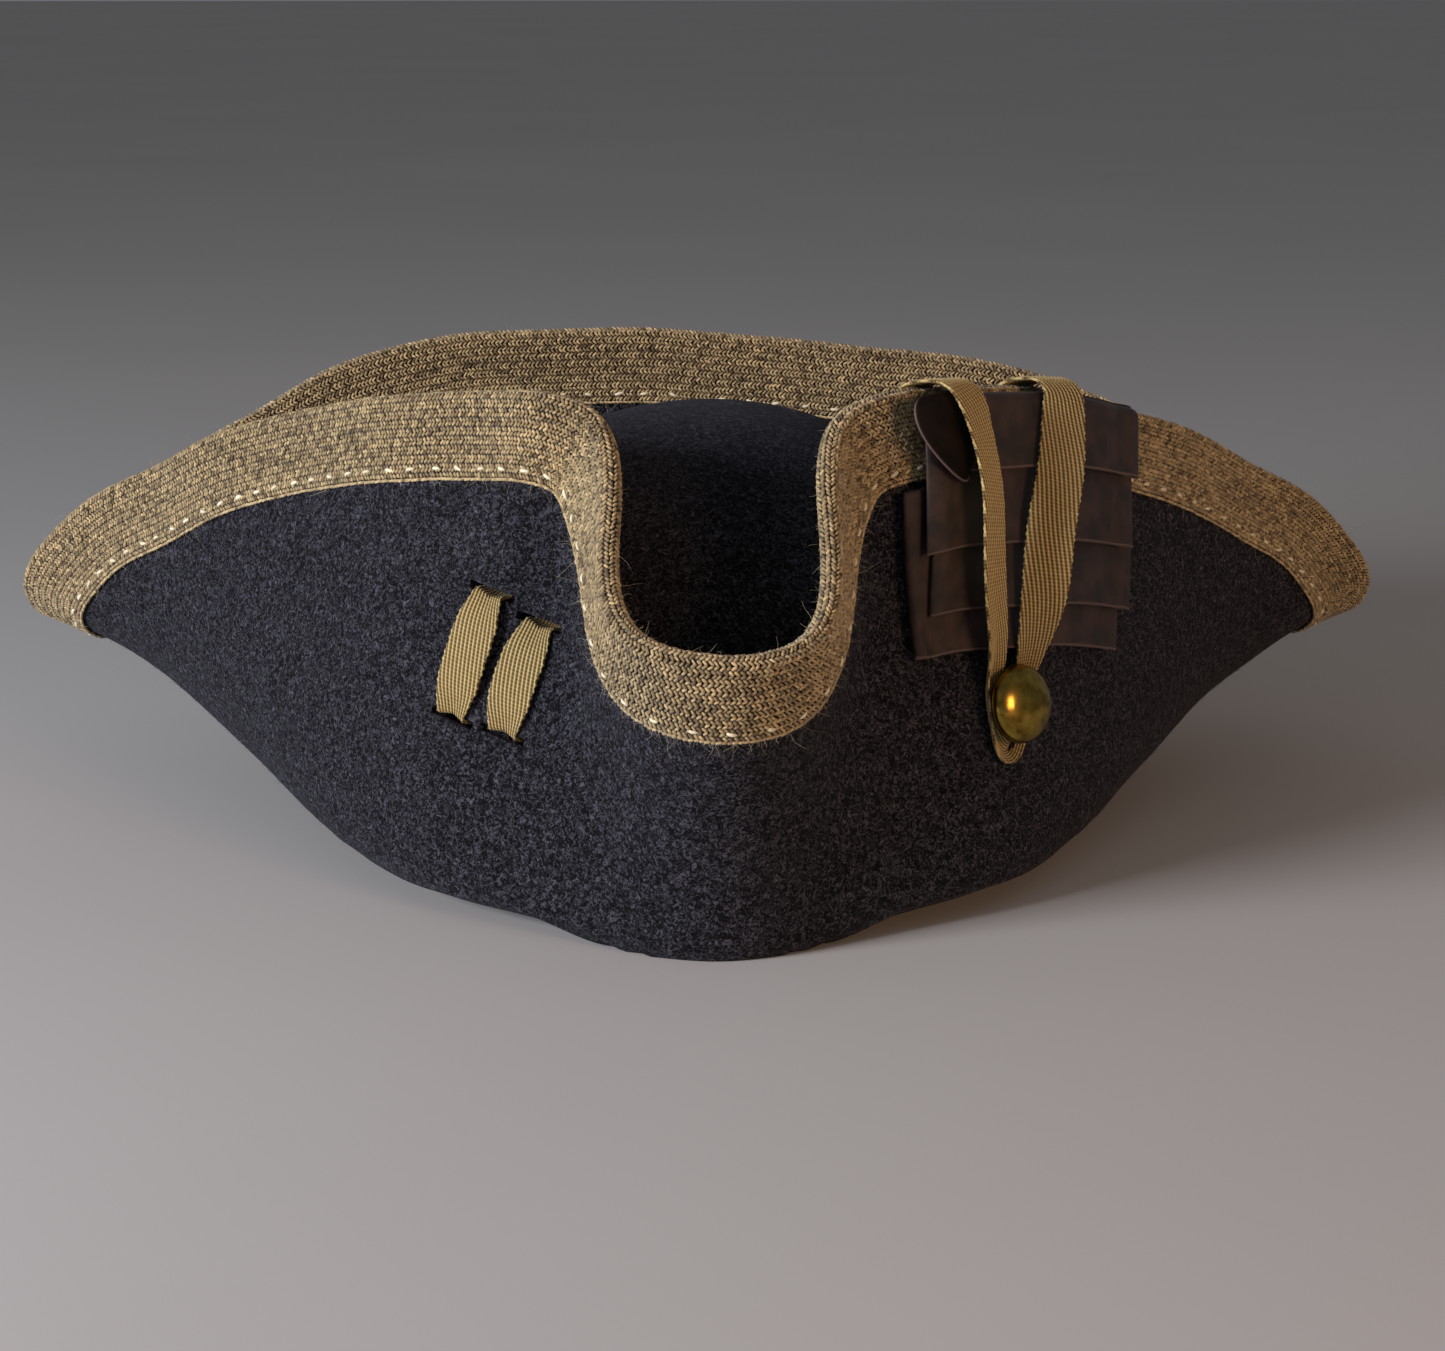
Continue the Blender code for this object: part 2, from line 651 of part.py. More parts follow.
def make_loop_tape(surface, material):
    """One tape over the brim's edge, down round the button's stem and back up."""
    route = curve_through(LOOP_TAPE_PATH, 2, closed=False)
    route[:, 2] += (FELT - LOOP_TAPE_FELT) / 2 * np.clip(route[:, 2] / 1.5, -1.0, 1.0)
    path = np.array([surface.point(along, down, lift) for along, down, lift, _, _ in route])
    normals = np.array([surface.normal(along, down) for along, down, _, _, _ in route])
    steps = np.gradient(path, axis=0)
    tangents = unit(steps)
    over_edge = np.array([surface.point(a + 1.0, d, l) for a, d, l, _, _ in route]) - path
    level = np.cross(tangents, normals)
    is_top = route[:, 1] < 4.0
    heading = np.where(route[:, 0] > BUTTON_ALONG, -1.0, 1.0)[:, None]
    level = np.where(is_top[:, None], unit(over_edge) * heading, unit(level + 1e-9))
    tilt = np.radians(route[:, 3])[:, None]
    sides = level * np.cos(tilt) - normals * np.sin(tilt)
    mesh = ribbon_mesh("loop_tape", path, sides, route[:, 4], TAPE)
    return add_object("loop_tape", mesh, material)


def crown_touch(place, clearance):
    """The point level with a place that stands a clearance off the crown's outer face."""
    angle = math.atan2(place[0] / HEAD_WIDTH, -place[1] / HEAD_LENGTH)
    return crown_row(np.array([angle]), crown_angle_at(place[2]), inset=-FELT / 2 - clearance)[0]


def make_cocking_tape(surface, felt, name, upper, lower, material):
    """A tape through two slits in the brim, both of its ends sewn to the crown."""
    proud = FELT / 2 + TAPE_LIE + TAPE / 2
    run_ends = [np.array(upper), np.array(lower)]
    run = [mix(run_ends[0], run_ends[1], share) for share in np.linspace(0.0, 1.0, 7)]
    outer = [surface.point(along, down, proud) for along, down in run]
    inner = [surface.point(along, down, -SLIT_RUN) for along, down in run_ends]
    run_way = unit(outer[-1] - outer[0])
    ends = [mix(place, crown_touch(place, TAPE_END), TAPE_LEG) for place in inner]
    path = np.array([ends[0], inner[0], *outer, inner[1], ends[1]])
    normal = surface.normal(*run[3])
    side = np.cross(run_way, normal)
    sides = np.tile(side, (len(path), 1))
    mesh = ribbon_mesh(name, path, sides, np.full(len(path), TAPE_WIDTH), TAPE)
    tape = add_object(name, mesh, material)
    for label, (along, down) in (("upper", run_ends[0]), ("lower", run_ends[1])):
        size = (TAPE_WIDTH + 2 * SLIT_PLAY, SLIT_HEIGHT, 4 * FELT)
        place = surface.point(along, down, 0.0)
        cut(felt, box_cutter(name + "_" + label + "_slit", size, place, surface.normal(along, down), side))
    return tape


# ---------------------------------------------------------------- cockade

def loop_outline(start, end, low, high):
    """Along and lift round a flattened loop, counted so that the outer side is on the left."""
    radius = (high - low) / 2
    middle = (high + low) / 2
    stops = np.linspace(start + radius, end - radius, 11)
    turns = np.radians(np.linspace(60.0, -60.0, 3))
    outline = [(along, high) for along in stops]
    outline += [(end - radius + radius * math.cos(turn), middle + radius * math.sin(turn)) for turn in turns]
    outline += [(along, low) for along in stops[::-1]]
    outline += [(start + radius - radius * math.cos(turn), middle - radius * math.sin(turn)) for turn in turns]
    return outline


def make_cockade(surface, ribbon_material, backing_material):
    """Flattened ribbon loops, each higher than the last, on a stiff backing."""
    for number, (start, end, lower) in enumerate(LOOPS):
        low = LOOP_LIFT + LOOP_STEP * number
        high = low + LOOP_DEPTH
        upper = max(lower - RIBBON_HEIGHT, -COCKADE_RISE)
        downs = np.linspace(upper, lower, 4)
        outer = loop_outline(start, end, low, high)
        inner = loop_outline(start + RIBBON, end - RIBBON, low + RIBBON, high - RIBBON)
        faces = []
        for outline in (outer, inner):
            rows = []
            for along, lift in outline:
                lean = mix(START_LEANS[number], END_LEAN, (along - start) / (end - start))
                rows.append([surface.point(along + lean * (lower - down), down, lift) for down in downs])
            faces.append(np.array(rows))
        name = "cockade_fold_%d" % (len(LOOPS) - number)
        add_object(name, slab_mesh(name, *faces, closed=True), ribbon_material)
    start, end, lower = LOOPS[0]
    alongs = np.linspace(start + BACKING_INSET, end - BACKING_INSET, 9)
    downs = np.linspace(BRAID_WIDTH + 6.0, lower - BACKING_INSET / 2, 4)
    low = FELT / 2 + 3 * GAP
    faces = [np.array([[surface.point(along, down, lift) for down in downs] for along in alongs])
             for lift in (low + BACKING, low)]
    add_object("cockade_backing", slab_mesh("cockade_backing", *faces, closed=False), backing_material)


# ---------------------------------------------------------------- button

def lathe_mesh(name, profile, segments=28):
    """A turned piece from a closed outline of radius and height; radius 0 is the axis."""
    points, faces, rings = [], [], []
    for radius, height in profile:
        if radius == 0.0:
            rings.append([len(points)] * segments)
            points.append(np.array([0.0, 0.0, height]))
            continue
        rings.append(list(range(len(points), len(points) + segments)))
        for k in range(segments):
            turn = 2 * math.pi * k / segments
            points.append(np.array([radius * math.cos(turn), radius * math.sin(turn), height]))
    for ring, after in zip(rings, rings[1:]):
        for k in range(segments):
            j = (k + 1) % segments
            corners = [ring[k], ring[j], after[j], after[k]]
            faces.append(list(dict.fromkeys(corners)))
    return mesh_from(name, points, [face for face in faces if len(face) > 2])


def torus_mesh(name, radius, wire, segments=16, sides=8):
    """A ring round the local X axis, centred on the origin."""
    points, faces = [], []
    for i in range(segments):
        turn = 2 * math.pi * i / segments
        for k in range(sides):
            roll = 2 * math.pi * k / sides
            reach = radius + wire * math.cos(roll)
            points.append(np.array([wire * math.sin(roll), reach * math.cos(turn), reach * math.sin(turn)]))
            a, b = i * sides, ((i + 1) % segments) * sides
            j = (k + 1) % sides
            faces.append((a + k, a + j, b + j, b + k))
    return mesh_from(name, points, faces)


def make_button(surface, felt, brass, dark_brass, thread_material):
    """Domed metal button on a wire eye, linked to a loop of thread that turns in the felt."""
    normal = surface.normal(BUTTON_ALONG, BUTTON_DOWN)
    seat = surface.point(BUTTON_ALONG, BUTTON_DOWN, 0.0)
    level = unit(across(surface.point(BUTTON_ALONG + 1.0, BUTTON_DOWN, 0.0) - seat, normal))
    loop_height = FELT / 2 + 2 * GAP + THREAD + THREAD_LOOP
    eye_height = loop_height + THREAD_LOOP
    back_height = eye_height + EYE_RADIUS + EYE_WIRE + GAP
    radius = BUTTON_DIAMETER / 2

    eye = add_object("button_shank", torus_mesh("button_shank", EYE_RADIUS, EYE_WIRE), dark_brass)
    placed(eye, seat + normal * eye_height, normal, level)

    plate = [(0.0, 0.0), (radius - BUTTON_WALL - GAP, 0.0), (radius - BUTTON_WALL - GAP, BUTTON_BACK), (0.0, BUTTON_BACK)]
    back = add_object("button_back", lathe_mesh("button_back", plate), dark_brass)
    placed(back, seat + normal * back_height, normal, level)

    dome = add_object("button_dome", lathe_mesh("button_dome", dome_profile(radius)), brass)
    placed(dome, seat + normal * back_height, normal, level)

    ring = torus_mesh("button_thread", THREAD_LOOP, THREAD)
    ring.transform(Matrix.Rotation(math.pi / 2, 4, "Z"))
    thread = add_object("button_thread", ring, thread_material)
    placed(thread, seat + normal * loop_height, normal, level)
    join_stem(thread, seat, normal, level, loop_height)

    cutter = round_cutter("button_stem_hole", STEM + STEM_PLAY, 4 * FELT, seat, normal, level)
    cut(felt, cutter)


def dome_profile(radius):
    """Outline of the button's cap: a flattened dome with a short upright rim."""
    turns = np.radians(np.linspace(0.0, 90.0, 7))
    rim = 1.0
    outer = [(radius, 0.0)]
    outer += [(radius * math.cos(turn), rim + (BUTTON_RISE - rim) * math.sin(turn)) for turn in turns[:-1]]
    outer += [(0.0, BUTTON_RISE)]
    inner_radius = radius - BUTTON_WALL
    inner = [(0.0, BUTTON_RISE - BUTTON_WALL)]
    inner += [(inner_radius * math.cos(turn), rim + (BUTTON_RISE - BUTTON_WALL - rim) * math.sin(turn))
              for turn in turns[:-1][::-1]]
    inner += [(inner_radius, 0.0), (radius, 0.0)]
    return outer + inner


def join_stem(thread, seat, normal, level, loop_height):
    """The thread's stem and the knot behind the felt, made one body with the loop."""
    knot_low = -FELT / 2 - 2 * GAP - KNOT
    knot_high = -FELT / 2 - 2 * GAP
    stem_high = loop_height - THREAD_LOOP + THREAD / 2
    profile = [(0.0, knot_low), (KNOT_RADIUS, knot_low), (KNOT_RADIUS, knot_high),
               (STEM, knot_high), (STEM, stem_high), (0.0, stem_high)]
    stem_mesh = lathe_mesh("button_thread_stem", profile, segments=16)
    stem = finish_cutter("button_thread_stem", stem_mesh, seat, normal, level)
    modifier = thread.modifiers.new("stem", "BOOLEAN")
    modifier.operation = "UNION"
    modifier.solver = "EXACT"
    modifier.object = stem


# ---------------------------------------------------------------- the hat

def build():
    remove_everything()
    felt_wool = make_material("felt_wool", (0.012, 0.012, 0.018), 0.92)
    braid_wool = make_material("braid_wool", (0.33, 0.26, 0.16), 0.85)
    gold_tape = make_material("gold_tape", (0.52, 0.38, 0.15), 0.60)
    satin = make_material("satin_ribbon", (0.045, 0.026, 0.022), 0.38)
    linen = make_material("linen_lining", (0.42, 0.36, 0.26), 0.90)
    leather = make_material("sweatband_leather", (0.22, 0.09, 0.035), 0.55)
    buckram = make_material("buckram", (0.03, 0.03, 0.03), 0.90)
    brass = make_material("brass", (0.42, 0.33, 0.13), 0.35, metallic=0.9)
    dark_brass = make_material("dark_brass", (0.25, 0.19, 0.08), 0.45, metallic=0.9)
    thread = make_material("waxed_thread", (0.02, 0.02, 0.02), 0.70)

    surface = MiddleSurface()
    felt = make_felt(surface, felt_wool)
    make_braid(surface, braid_wool)
    make_lining(surface, linen, linen)
    make_sweatband(surface, leather)
    make_cockade(surface, satin, buckram)
    make_loop_tape(surface, gold_tape)
    make_button(surface, felt, brass, dark_brass, thread)
    for name, (upper_along, upper_down, lower_along, lower_down) in COCKING_TAPES.items():
        make_cocking_tape(surface, felt, name, (upper_along, upper_down), (lower_along, lower_down), gold_tape)
    back = surface.edge_length / 2
    for name, (upper_along, upper_down, lower_along, lower_down) in BACK_TAPES.items():
        upper, lower = (back + upper_along, upper_down), (back + lower_along, lower_down)
        make_cocking_tape(surface, felt, name, upper, lower, gold_tape)


build()
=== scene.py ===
"""Cocked felt hat: felt, plaited braid, cockade, tapes and button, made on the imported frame.

Everything soft lies on one surface, the middle of the felt.  It is made here by the same
sections as the CAD felt, only much finer.  A place on the brim is three numbers in
millimetres: along the edge from the front centre towards the wearer's left, down from the
edge, and lift off the middle of the felt on the face that looks away from the crown.
"""

import json
import math

import bpy
import numpy as np
from mathutils import Matrix, Vector, noise


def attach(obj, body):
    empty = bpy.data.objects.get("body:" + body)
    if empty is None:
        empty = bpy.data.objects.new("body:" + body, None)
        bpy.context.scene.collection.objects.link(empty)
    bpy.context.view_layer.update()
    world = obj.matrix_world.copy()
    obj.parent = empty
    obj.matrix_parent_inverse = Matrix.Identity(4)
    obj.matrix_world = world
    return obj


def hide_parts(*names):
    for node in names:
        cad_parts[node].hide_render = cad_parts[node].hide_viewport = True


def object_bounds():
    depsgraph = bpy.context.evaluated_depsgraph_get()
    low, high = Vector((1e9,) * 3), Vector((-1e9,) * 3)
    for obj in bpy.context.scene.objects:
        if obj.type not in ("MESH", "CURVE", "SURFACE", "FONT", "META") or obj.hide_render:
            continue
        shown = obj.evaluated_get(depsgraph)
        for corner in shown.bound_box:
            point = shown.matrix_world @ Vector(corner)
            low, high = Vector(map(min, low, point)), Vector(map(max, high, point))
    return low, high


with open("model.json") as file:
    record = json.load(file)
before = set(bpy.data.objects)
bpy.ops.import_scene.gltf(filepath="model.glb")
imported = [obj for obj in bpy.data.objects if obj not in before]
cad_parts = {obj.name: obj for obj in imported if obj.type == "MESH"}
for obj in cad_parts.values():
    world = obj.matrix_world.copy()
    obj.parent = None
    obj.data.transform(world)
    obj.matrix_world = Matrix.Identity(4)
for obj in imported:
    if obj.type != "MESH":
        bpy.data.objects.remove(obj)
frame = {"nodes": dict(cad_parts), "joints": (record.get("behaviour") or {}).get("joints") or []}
cad_low, cad_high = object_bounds()

MM = 0.001
UP = np.array([0.0, 0.0, 1.0])
RANDOM_SEED = 1776
noise.seed_set(RANDOM_SEED)

# Camera: lens and place, from the outline's perspective
CAMERA_AWAY = 900.0
CAMERA_RISE = 14.0      # degrees above the hat
CAMERA_TURN = -1.8      # degrees round it
CAMERA_SHIFT = (4.22, 29.27)
CAMERA_LENS = 76.98
CAMERA_SENSOR = 36.0

# Felt: the same sizes as the CAD felt
HEAD_WIDTH = 166.0
HEAD_LENGTH = 200.0
CROWN_HEIGHT = 107.0
CROWN_POWER = 2.3
FELT = 3.0
CROWN_LAYERS = 4.8      # from the head to the middle of the felt
EDGE = [
    (0.0, -150.0, 70.5, 70.5),
    (11.0, -147.5, 71.0, 71.0),
    (21.0, -139.0, 73.5, 73.5),
    (27.0, -125.0, 82.5, 82.5),
    (27.5, -109.0, 98.0, 98.0),
    (27.8, -97.0, 110.5, 110.5),
    (32.0, -88.0, 119.0, 119.5),
    (40.5, -82.5, 122.0, 122.8),
    (55.0, -69.0, 122.0, 122.0),
    (86.0, -40.0, 117.5, 116.0),
    (117.5, -5.0, 106.0, 106.0),
    (140.0, 16.0, 96.5, 97.0),
    (163.0, 39.0, 82.5, 83.0),
    (185.0, 57.0, 69.0, 70.0),
    (199.5, 67.0, 54.0, 56.0),
    (207.0, 76.0, 39.0, 41.0),
    (203.5, 86.0, 31.0, 32.0),
    (192.0, 94.0, 44.0, 45.0),
    (174.0, 98.0, 66.0, 69.0),
    (146.0, 102.0, 84.0, 86.0),
    (120.0, 107.0, 95.0, 100.0),
    (100.0, 110.5, 101.0, 107.5),
    (60.0, 116.0, 106.5, 112.5),
    (28.0, 119.0, 109.0, 113.0),
    (0.0, 120.0, 111.5, 111.5),
]
TROUGH_REACH, TROUGH_SPREAD, TROUGH_DROP = 16.0, 0.20, 4.0
PROW_DROP, PROW_REACH, PROW_WALL = 38.0, 20.0, 10.0
WALL_SHARE, EDGE_RUN = 0.62, 34.0
TROUGH_EASE, WALL_EASE, STRAIGHT_EASE, EDGE_EASE = 0.045, 0.030, 0.014, 0.006
CROWN_ROOM, CROWN_ROOM_START, CROWN_ROOM_EASE = 10.0, 0.30, 45.0

# How finely the felt is made
ROUND = 1216            # places round the edge, about a millimetre apart
DEEP = 110              # depth of the brim's table, in millimetres
SECTION_STEPS = 101
FELT_STATIONS = 608
CROWN_ROWS = 24
BRIM_ROWS = 36
LUMP = 0.8              # unevenness of hand blocked felt
LUMP_SPAN = 34.0

# Braid
BRAID_WIDTH = 22.0
BRAID_LIFT = 2.5        # the strands' middle, off the middle of the felt
FOLD_LENGTH = 6.6       # across the braid where it turns over the felt's edge
PLAIT_ROW = 1.2         # width of half a plait row
PLAIT_REPEAT = 1.3
PLAIT_SLANT = 40.0
PLAIT_TILT = 0.20       # how much each strand rises towards the middle of its row
STRAND = (2.1, 0.92, 1.0)       # length, width and thickness of one visible strand

# Tapes, cockade and button, as in the CAD
TAPE_WIDTH, TAPE = 13.0, 0.8
RIB_PITCH, RIB_HEIGHT, RIB_SLANT = 1.27, 0.17, 0.22
RIBBON, RIBBON_HEIGHT = 0.36, 44.0
LOOPS = [(86.0, 201.5, 68.0), (102.0, 205.5, 57.0), (104.2, 203.5, 40.5), (119.0, 206.0, 21.0)]
START_LEANS, END_LEAN = [0.40, 0.36, 0.26, 0.08], 0.10
GAPES = (1.4, 0.9, 0.8, 0.2)            # how far each loop's forward fold stands open
HEM_RUN = 0.7                           # how far up a loop its rolled hem fades
CURL_RIM = [(110.5, 0.3, 11.2), (120.8, 23.4, 12.4),    # its top and bottom, then its
            (109.2, 13.4, 14.6), (121.0, 8.8, 10.9)]    # nearest and farthest places
CURL_END = (128.0, 10.2, 10.4, 0.7)     # along, down, half height, half depth
CURL_AROUND, CURL_ALONG = 96, 26        # places round it and along it
LOOP_LIFT, LOOP_STEP, LOOP_DEPTH = 3.6, 2.2, 1.6
BUTTON_ALONG = 137.0
BUTTON_RADIUS, BUTTON_RISE, BUTTON_BACK_HEIGHT = 10.25, 5.6, 7.9
BUTTON_WALL, BUTTON_LIP, RIM_RADIUS = 0.6, 1.0, 0.42
LOOP_TAPE_PATH = [      # along, down, lift, tilt in degrees, width
    (165.0, 30.0, -4.6, 0.0, 13.0),
    (165.0, 12.0, -4.9, 0.0, 13.0),
    (165.0, 3.0, -5.0, 0.0, 13.0),
    (165.0, -1.6, -3.8, 2.0, 13.0),
    (165.0, -3.4, 0.0, 4.0, 13.0),
    (165.0, -3.4, 6.0, 6.0, 13.0),
    (164.8, -2.0, 11.4, 8.0, 13.0),
    (164.4, 1.4, 14.2, 12.0, 13.0),
    (162.8, 6.0, 15.2, 18.0, 13.0),
    (158.2, 20.0, 16.6, 28.0, 13.0),
    (151.4, 38.0, 16.0, 36.0, 13.0),
    (147.4, 55.0, 13.2, 34.0, 12.5),
    (146.6, 65.0, 9.2, 18.0, 11.0),
    (146.6, 72.0, 5.8, 4.0, 9.0),
    (146.2, 79.0, 3.4, 0.0, 6.0),
    (143.6, 88.0, 3.2, 0.0, 6.0),
    (139.2, 94.4, 3.2, 4.0, 6.0),
    (133.4, 94.2, 3.8, 10.0, 7.5),
    (129.0, 87.5, 4.6, 14.0, 6.0),
    (127.8, 78.5, 5.2, 14.0, 6.0),
    (127.0, 69.5, 8.8, 20.0, 9.0),
    (125.0, 57.0, 12.4, 20.0, 11.5),
    (125.2, 41.0, 14.8, 20.0, 12.5),
    (127.2, 26.0, 15.8, 18.0, 13.0),
    (128.6, 10.0, 14.4, 14.0, 13.0),
    (126.6, 1.2, 13.6, 6.0, 13.0),
    (125.6, -2.2, 11.0, 4.0, 13.0),
    (125.4, -3.4, 6.0, 2.0, 13.0),
    (125.2, -3.4, 0.0, 0.0, 13.0),
    (125.2, -1.6, -3.8, 0.0, 13.0),
    (125.5, 3.0, -5.0, 0.0, 13.0),
    (126.0, 12.0, -4.9, 0.0, 13.0),
    (127.0, 30.0, -4.6, 0.0, 13.0),
]
# Cocking tapes: along and down of the upper and the lower slit; the back pair's along is
# measured from the back centre
COCKING_TAPES = {
    "cocking_tape_left_front": (-84.0, 49.5, -93.0, 85.0),
    "cocking_tape_left_rear": (-114.0, 51.0, -125.0, 84.0),
}
BACK_TAPES = {
    "cocking_tape_back_left": (-38.0, 52.0, -44.0, 88.0),
    "cocking_tape_back_right": (38.0, 52.0, 44.0, 88.0),
}

SLIT_HEIGHT, SLIT_PLAY = 2.2, 0.4
TAPE_SEWN, TAPE_REACH = 1.2, 0.9        # gap to the crown, and share of the way to it
TAPE_STEP = 0.62

# Hairs and stitches
NAP = (     # name, number, first row of the felt, face, longest hair
    ("nap_outside", 9000, CROWN_ROWS + 4, -1.0, 2.6),
    ("nap_inside", 7500, CROWN_ROWS + 2, 1.0, 2.6),
    ("lint", 1500, 0, 1.0, 6.0),
)
HAIR = 0.09
FUZZ_COUNT, FUZZ_HAIR, FUZZ_LONGEST = 3600, 0.085, 6.0
STITCH, STITCH_PITCH, STITCH_INSET = (2.9, 0.95, 0.7), 9.3, 3.4

# Lining and sweatband: distances inwards from the middle of the felt
LINING_INSETS = (1.9, 2.4)
BAND_INSETS = (2.7, 3.9)
BAND_HEIGHT = 34.0
LINING_SEAM = 45.0      # degrees up the crown's profile


# ---------------------------------------------------------------- small helpers

def unit(vectors):
    return vectors / np.maximum(np.linalg.norm(vectors, axis=-1, keepdims=True), 1e-12)


def mix(a, b, share):
    return a * (1.0 - share) + b * share


def across(vectors, direction):
    """What is left of the vectors at right angles to unit directions."""
    return vectors - np.sum(vectors * direction, axis=-1, keepdims=True) * direction


def smooth_round(values, share):
    """Gaussian mean round a closed ring; share is its width as a share of the ring."""
    count = len(values)
    steps = np.arange(count)
    reach = np.minimum(steps, count - steps) / count
    weights = np.exp(-0.5 * (reach / share) ** 2)
    weights /= weights.sum()
    blurred = np.fft.rfft(values, axis=0) * np.fft.rfft(weights)[:, None]
    return np.fft.irfft(blurred, count, axis=0)


def smooth_line(values, width):
    """Gaussian mean along an open line of points whose ends stay."""
    steps = np.arange(-int(3 * width), int(3 * width) + 1)
    weights = np.exp(-0.5 * (steps / width) ** 2)
    weights /= weights.sum()
    pad = len(steps) // 2
    before = 2 * values[:1] - values[1:pad + 1][::-1]
    after = 2 * values[-1:] - values[-pad - 1:-1][::-1]
    padded = np.concatenate([before, values, after])
    return np.stack([np.convolve(padded[:, k], weights, "valid") for k in range(values.shape[1])], axis=1)


def curve_through(knots, points_per_span, closed):
    """A natural or closed cubic curve through knots of any dimension."""
    knots = np.asarray(knots, float)
    count = len(knots)
    after = np.roll(knots, -1, axis=0)
    spans = np.linalg.norm((after - knots)[:, :3], axis=1)
    system = np.eye(count)
    right = np.zeros_like(knots)
    for i in range(0 if closed else 1, count if closed else count - 1):
        before, here = spans[i - 1], spans[i]
        system[i, i] = 2.0 * (before + here)
        system[i, i - 1] += before
        system[i, (i + 1) % count] += here
        right[i] = 6.0 * ((knots[(i + 1) % count] - knots[i]) / here - (knots[i] - knots[i - 1]) / before)
    bend = np.linalg.solve(system, right)
    curve = []
    for i in range(count if closed else count - 1):
        j = (i + 1) % count
        for s in np.arange(points_per_span) / points_per_span:
            r = 1.0 - s
            bow = ((r ** 3 - r) * bend[i] + (s ** 3 - s) * bend[j]) * spans[i] ** 2 / 6.0
            curve.append(knots[i] * r + knots[j] * s + bow)
    if not closed:
        curve.append(knots[-1])
    return np.array(curve)


def line_lengths(points):
    return np.concatenate([[0.0], np.cumsum(np.linalg.norm(np.diff(points, axis=0), axis=1))])


def at_lengths(wanted, lengths, points):
    return np.stack([np.interp(wanted, lengths, points[:, k]) for k in range(points.shape[1])], axis=1)


def even_line(points, step):
    """The points of a line read again at even steps."""
    lengths = line_lengths(points)
    count = max(int(lengths[-1] / step), 2)
    return at_lengths(np.linspace(0.0, lengths[-1], count + 1), lengths, points)


def linear(code):
    """A colour written as a web code, turned to linear light."""
    parts = [int(code[k:k + 2], 16) / 255 for k in (1, 3, 5)]
    return (*[part / 12.92 if part <= 0.04045 else ((part + 0.055) / 1.055) ** 2.4 for part in parts], 1.0)


# ---------------------------------------------------------------- the felt's middle surface

def crown_oval(angles, inset=0.0):
    """The crown's oval at the headline and its outward directions; angle 0 is the front."""
    half_width = HEAD_WIDTH / 2 + CROWN_LAYERS - inset
    half_length = HEAD_LENGTH / 2 + CROWN_LAYERS - inset
    flat = np.zeros_like(angles)
    oval = np.stack([half_width * np.sin(angles), -half_length * np.cos(angles), flat], axis=1)
    outward = np.stack([np.sin(angles) / half_width, -np.cos(angles) / half_length, flat], axis=1)
    return oval, unit(outward)


def crown_row(angles, profile_angle, inset=0.0):
    """One level ring of the crown, at an angle up its profile: 0 headline, 90 top."""
    oval, _ = crown_oval(angles, inset)
    shrink = math.cos(math.radians(profile_angle)) ** (2 / CROWN_POWER)
    height = (CROWN_HEIGHT - inset) * math.sin(math.radians(profile_angle)) ** (2 / CROWN_POWER)
    return oval * shrink + UP * height


def profile_at(height):
    """The angle up the crown's profile at a height above the headline."""
    return math.degrees(math.asin((height / CROWN_HEIGHT) ** (CROWN_POWER / 2)))


def edge_loop():
    """The brim's edge, from the front centre round the wearer's left."""
    left = [(x, y, high_left) for x, y, high_left, _ in EDGE]
    right = [(-x, y, high_right) for x, y, _, high_right in reversed(EDGE[1:-1])]
    fine = curve_through(left + right, 40, closed=True)
    fine = np.concatenate([fine, fine[:1]])
    lengths = line_lengths(fine)
    return at_lengths(np.linspace(0.0, lengths[-1], ROUND, endpoint=False), lengths, fine), lengths[-1]


def brim_controls(edge):
    """Five control points of the brim's section all round the edge."""
    angles = np.linspace(0.0, 2 * math.pi, ROUND, endpoint=False)
    headline, outward = crown_oval(angles)
    run = unit(np.roll(edge, -1, axis=0) - np.roll(edge, 1, axis=0))
    reach = np.linalg.norm((edge - headline)[:, :2], axis=1, keepdims=True)
    prow = ((1.0 + np.cos(angles)) / 2)[:, None] ** 2
    trough = headline + outward * (TROUGH_REACH + TROUGH_SPREAD * reach + PROW_REACH * prow)
    trough = smooth_round(trough - UP * (TROUGH_DROP + PROW_DROP * prow), TROUGH_EASE)
    rising = unit(across(edge - trough, run))
    rising = unit(across(smooth_round(rising, EDGE_EASE), run))
    height = np.linalg.norm(edge - trough, axis=1, keepdims=True)
    wall = smooth_round(edge - rising * height * WALL_SHARE + outward * PROW_WALL * prow, WALL_EASE)
    straight = smooth_round(edge - rising * EDGE_RUN, STRAIGHT_EASE)
    return headline, trough, wall, straight, edge


def bezier(controls, share):
    rest = 1.0 - share
    weights = (rest ** 4, 4 * share * rest ** 3, 6 * share ** 2 * rest ** 2, 4 * share ** 3 * rest, share ** 4)
    return sum(weight * point for weight, point in zip(weights, controls))


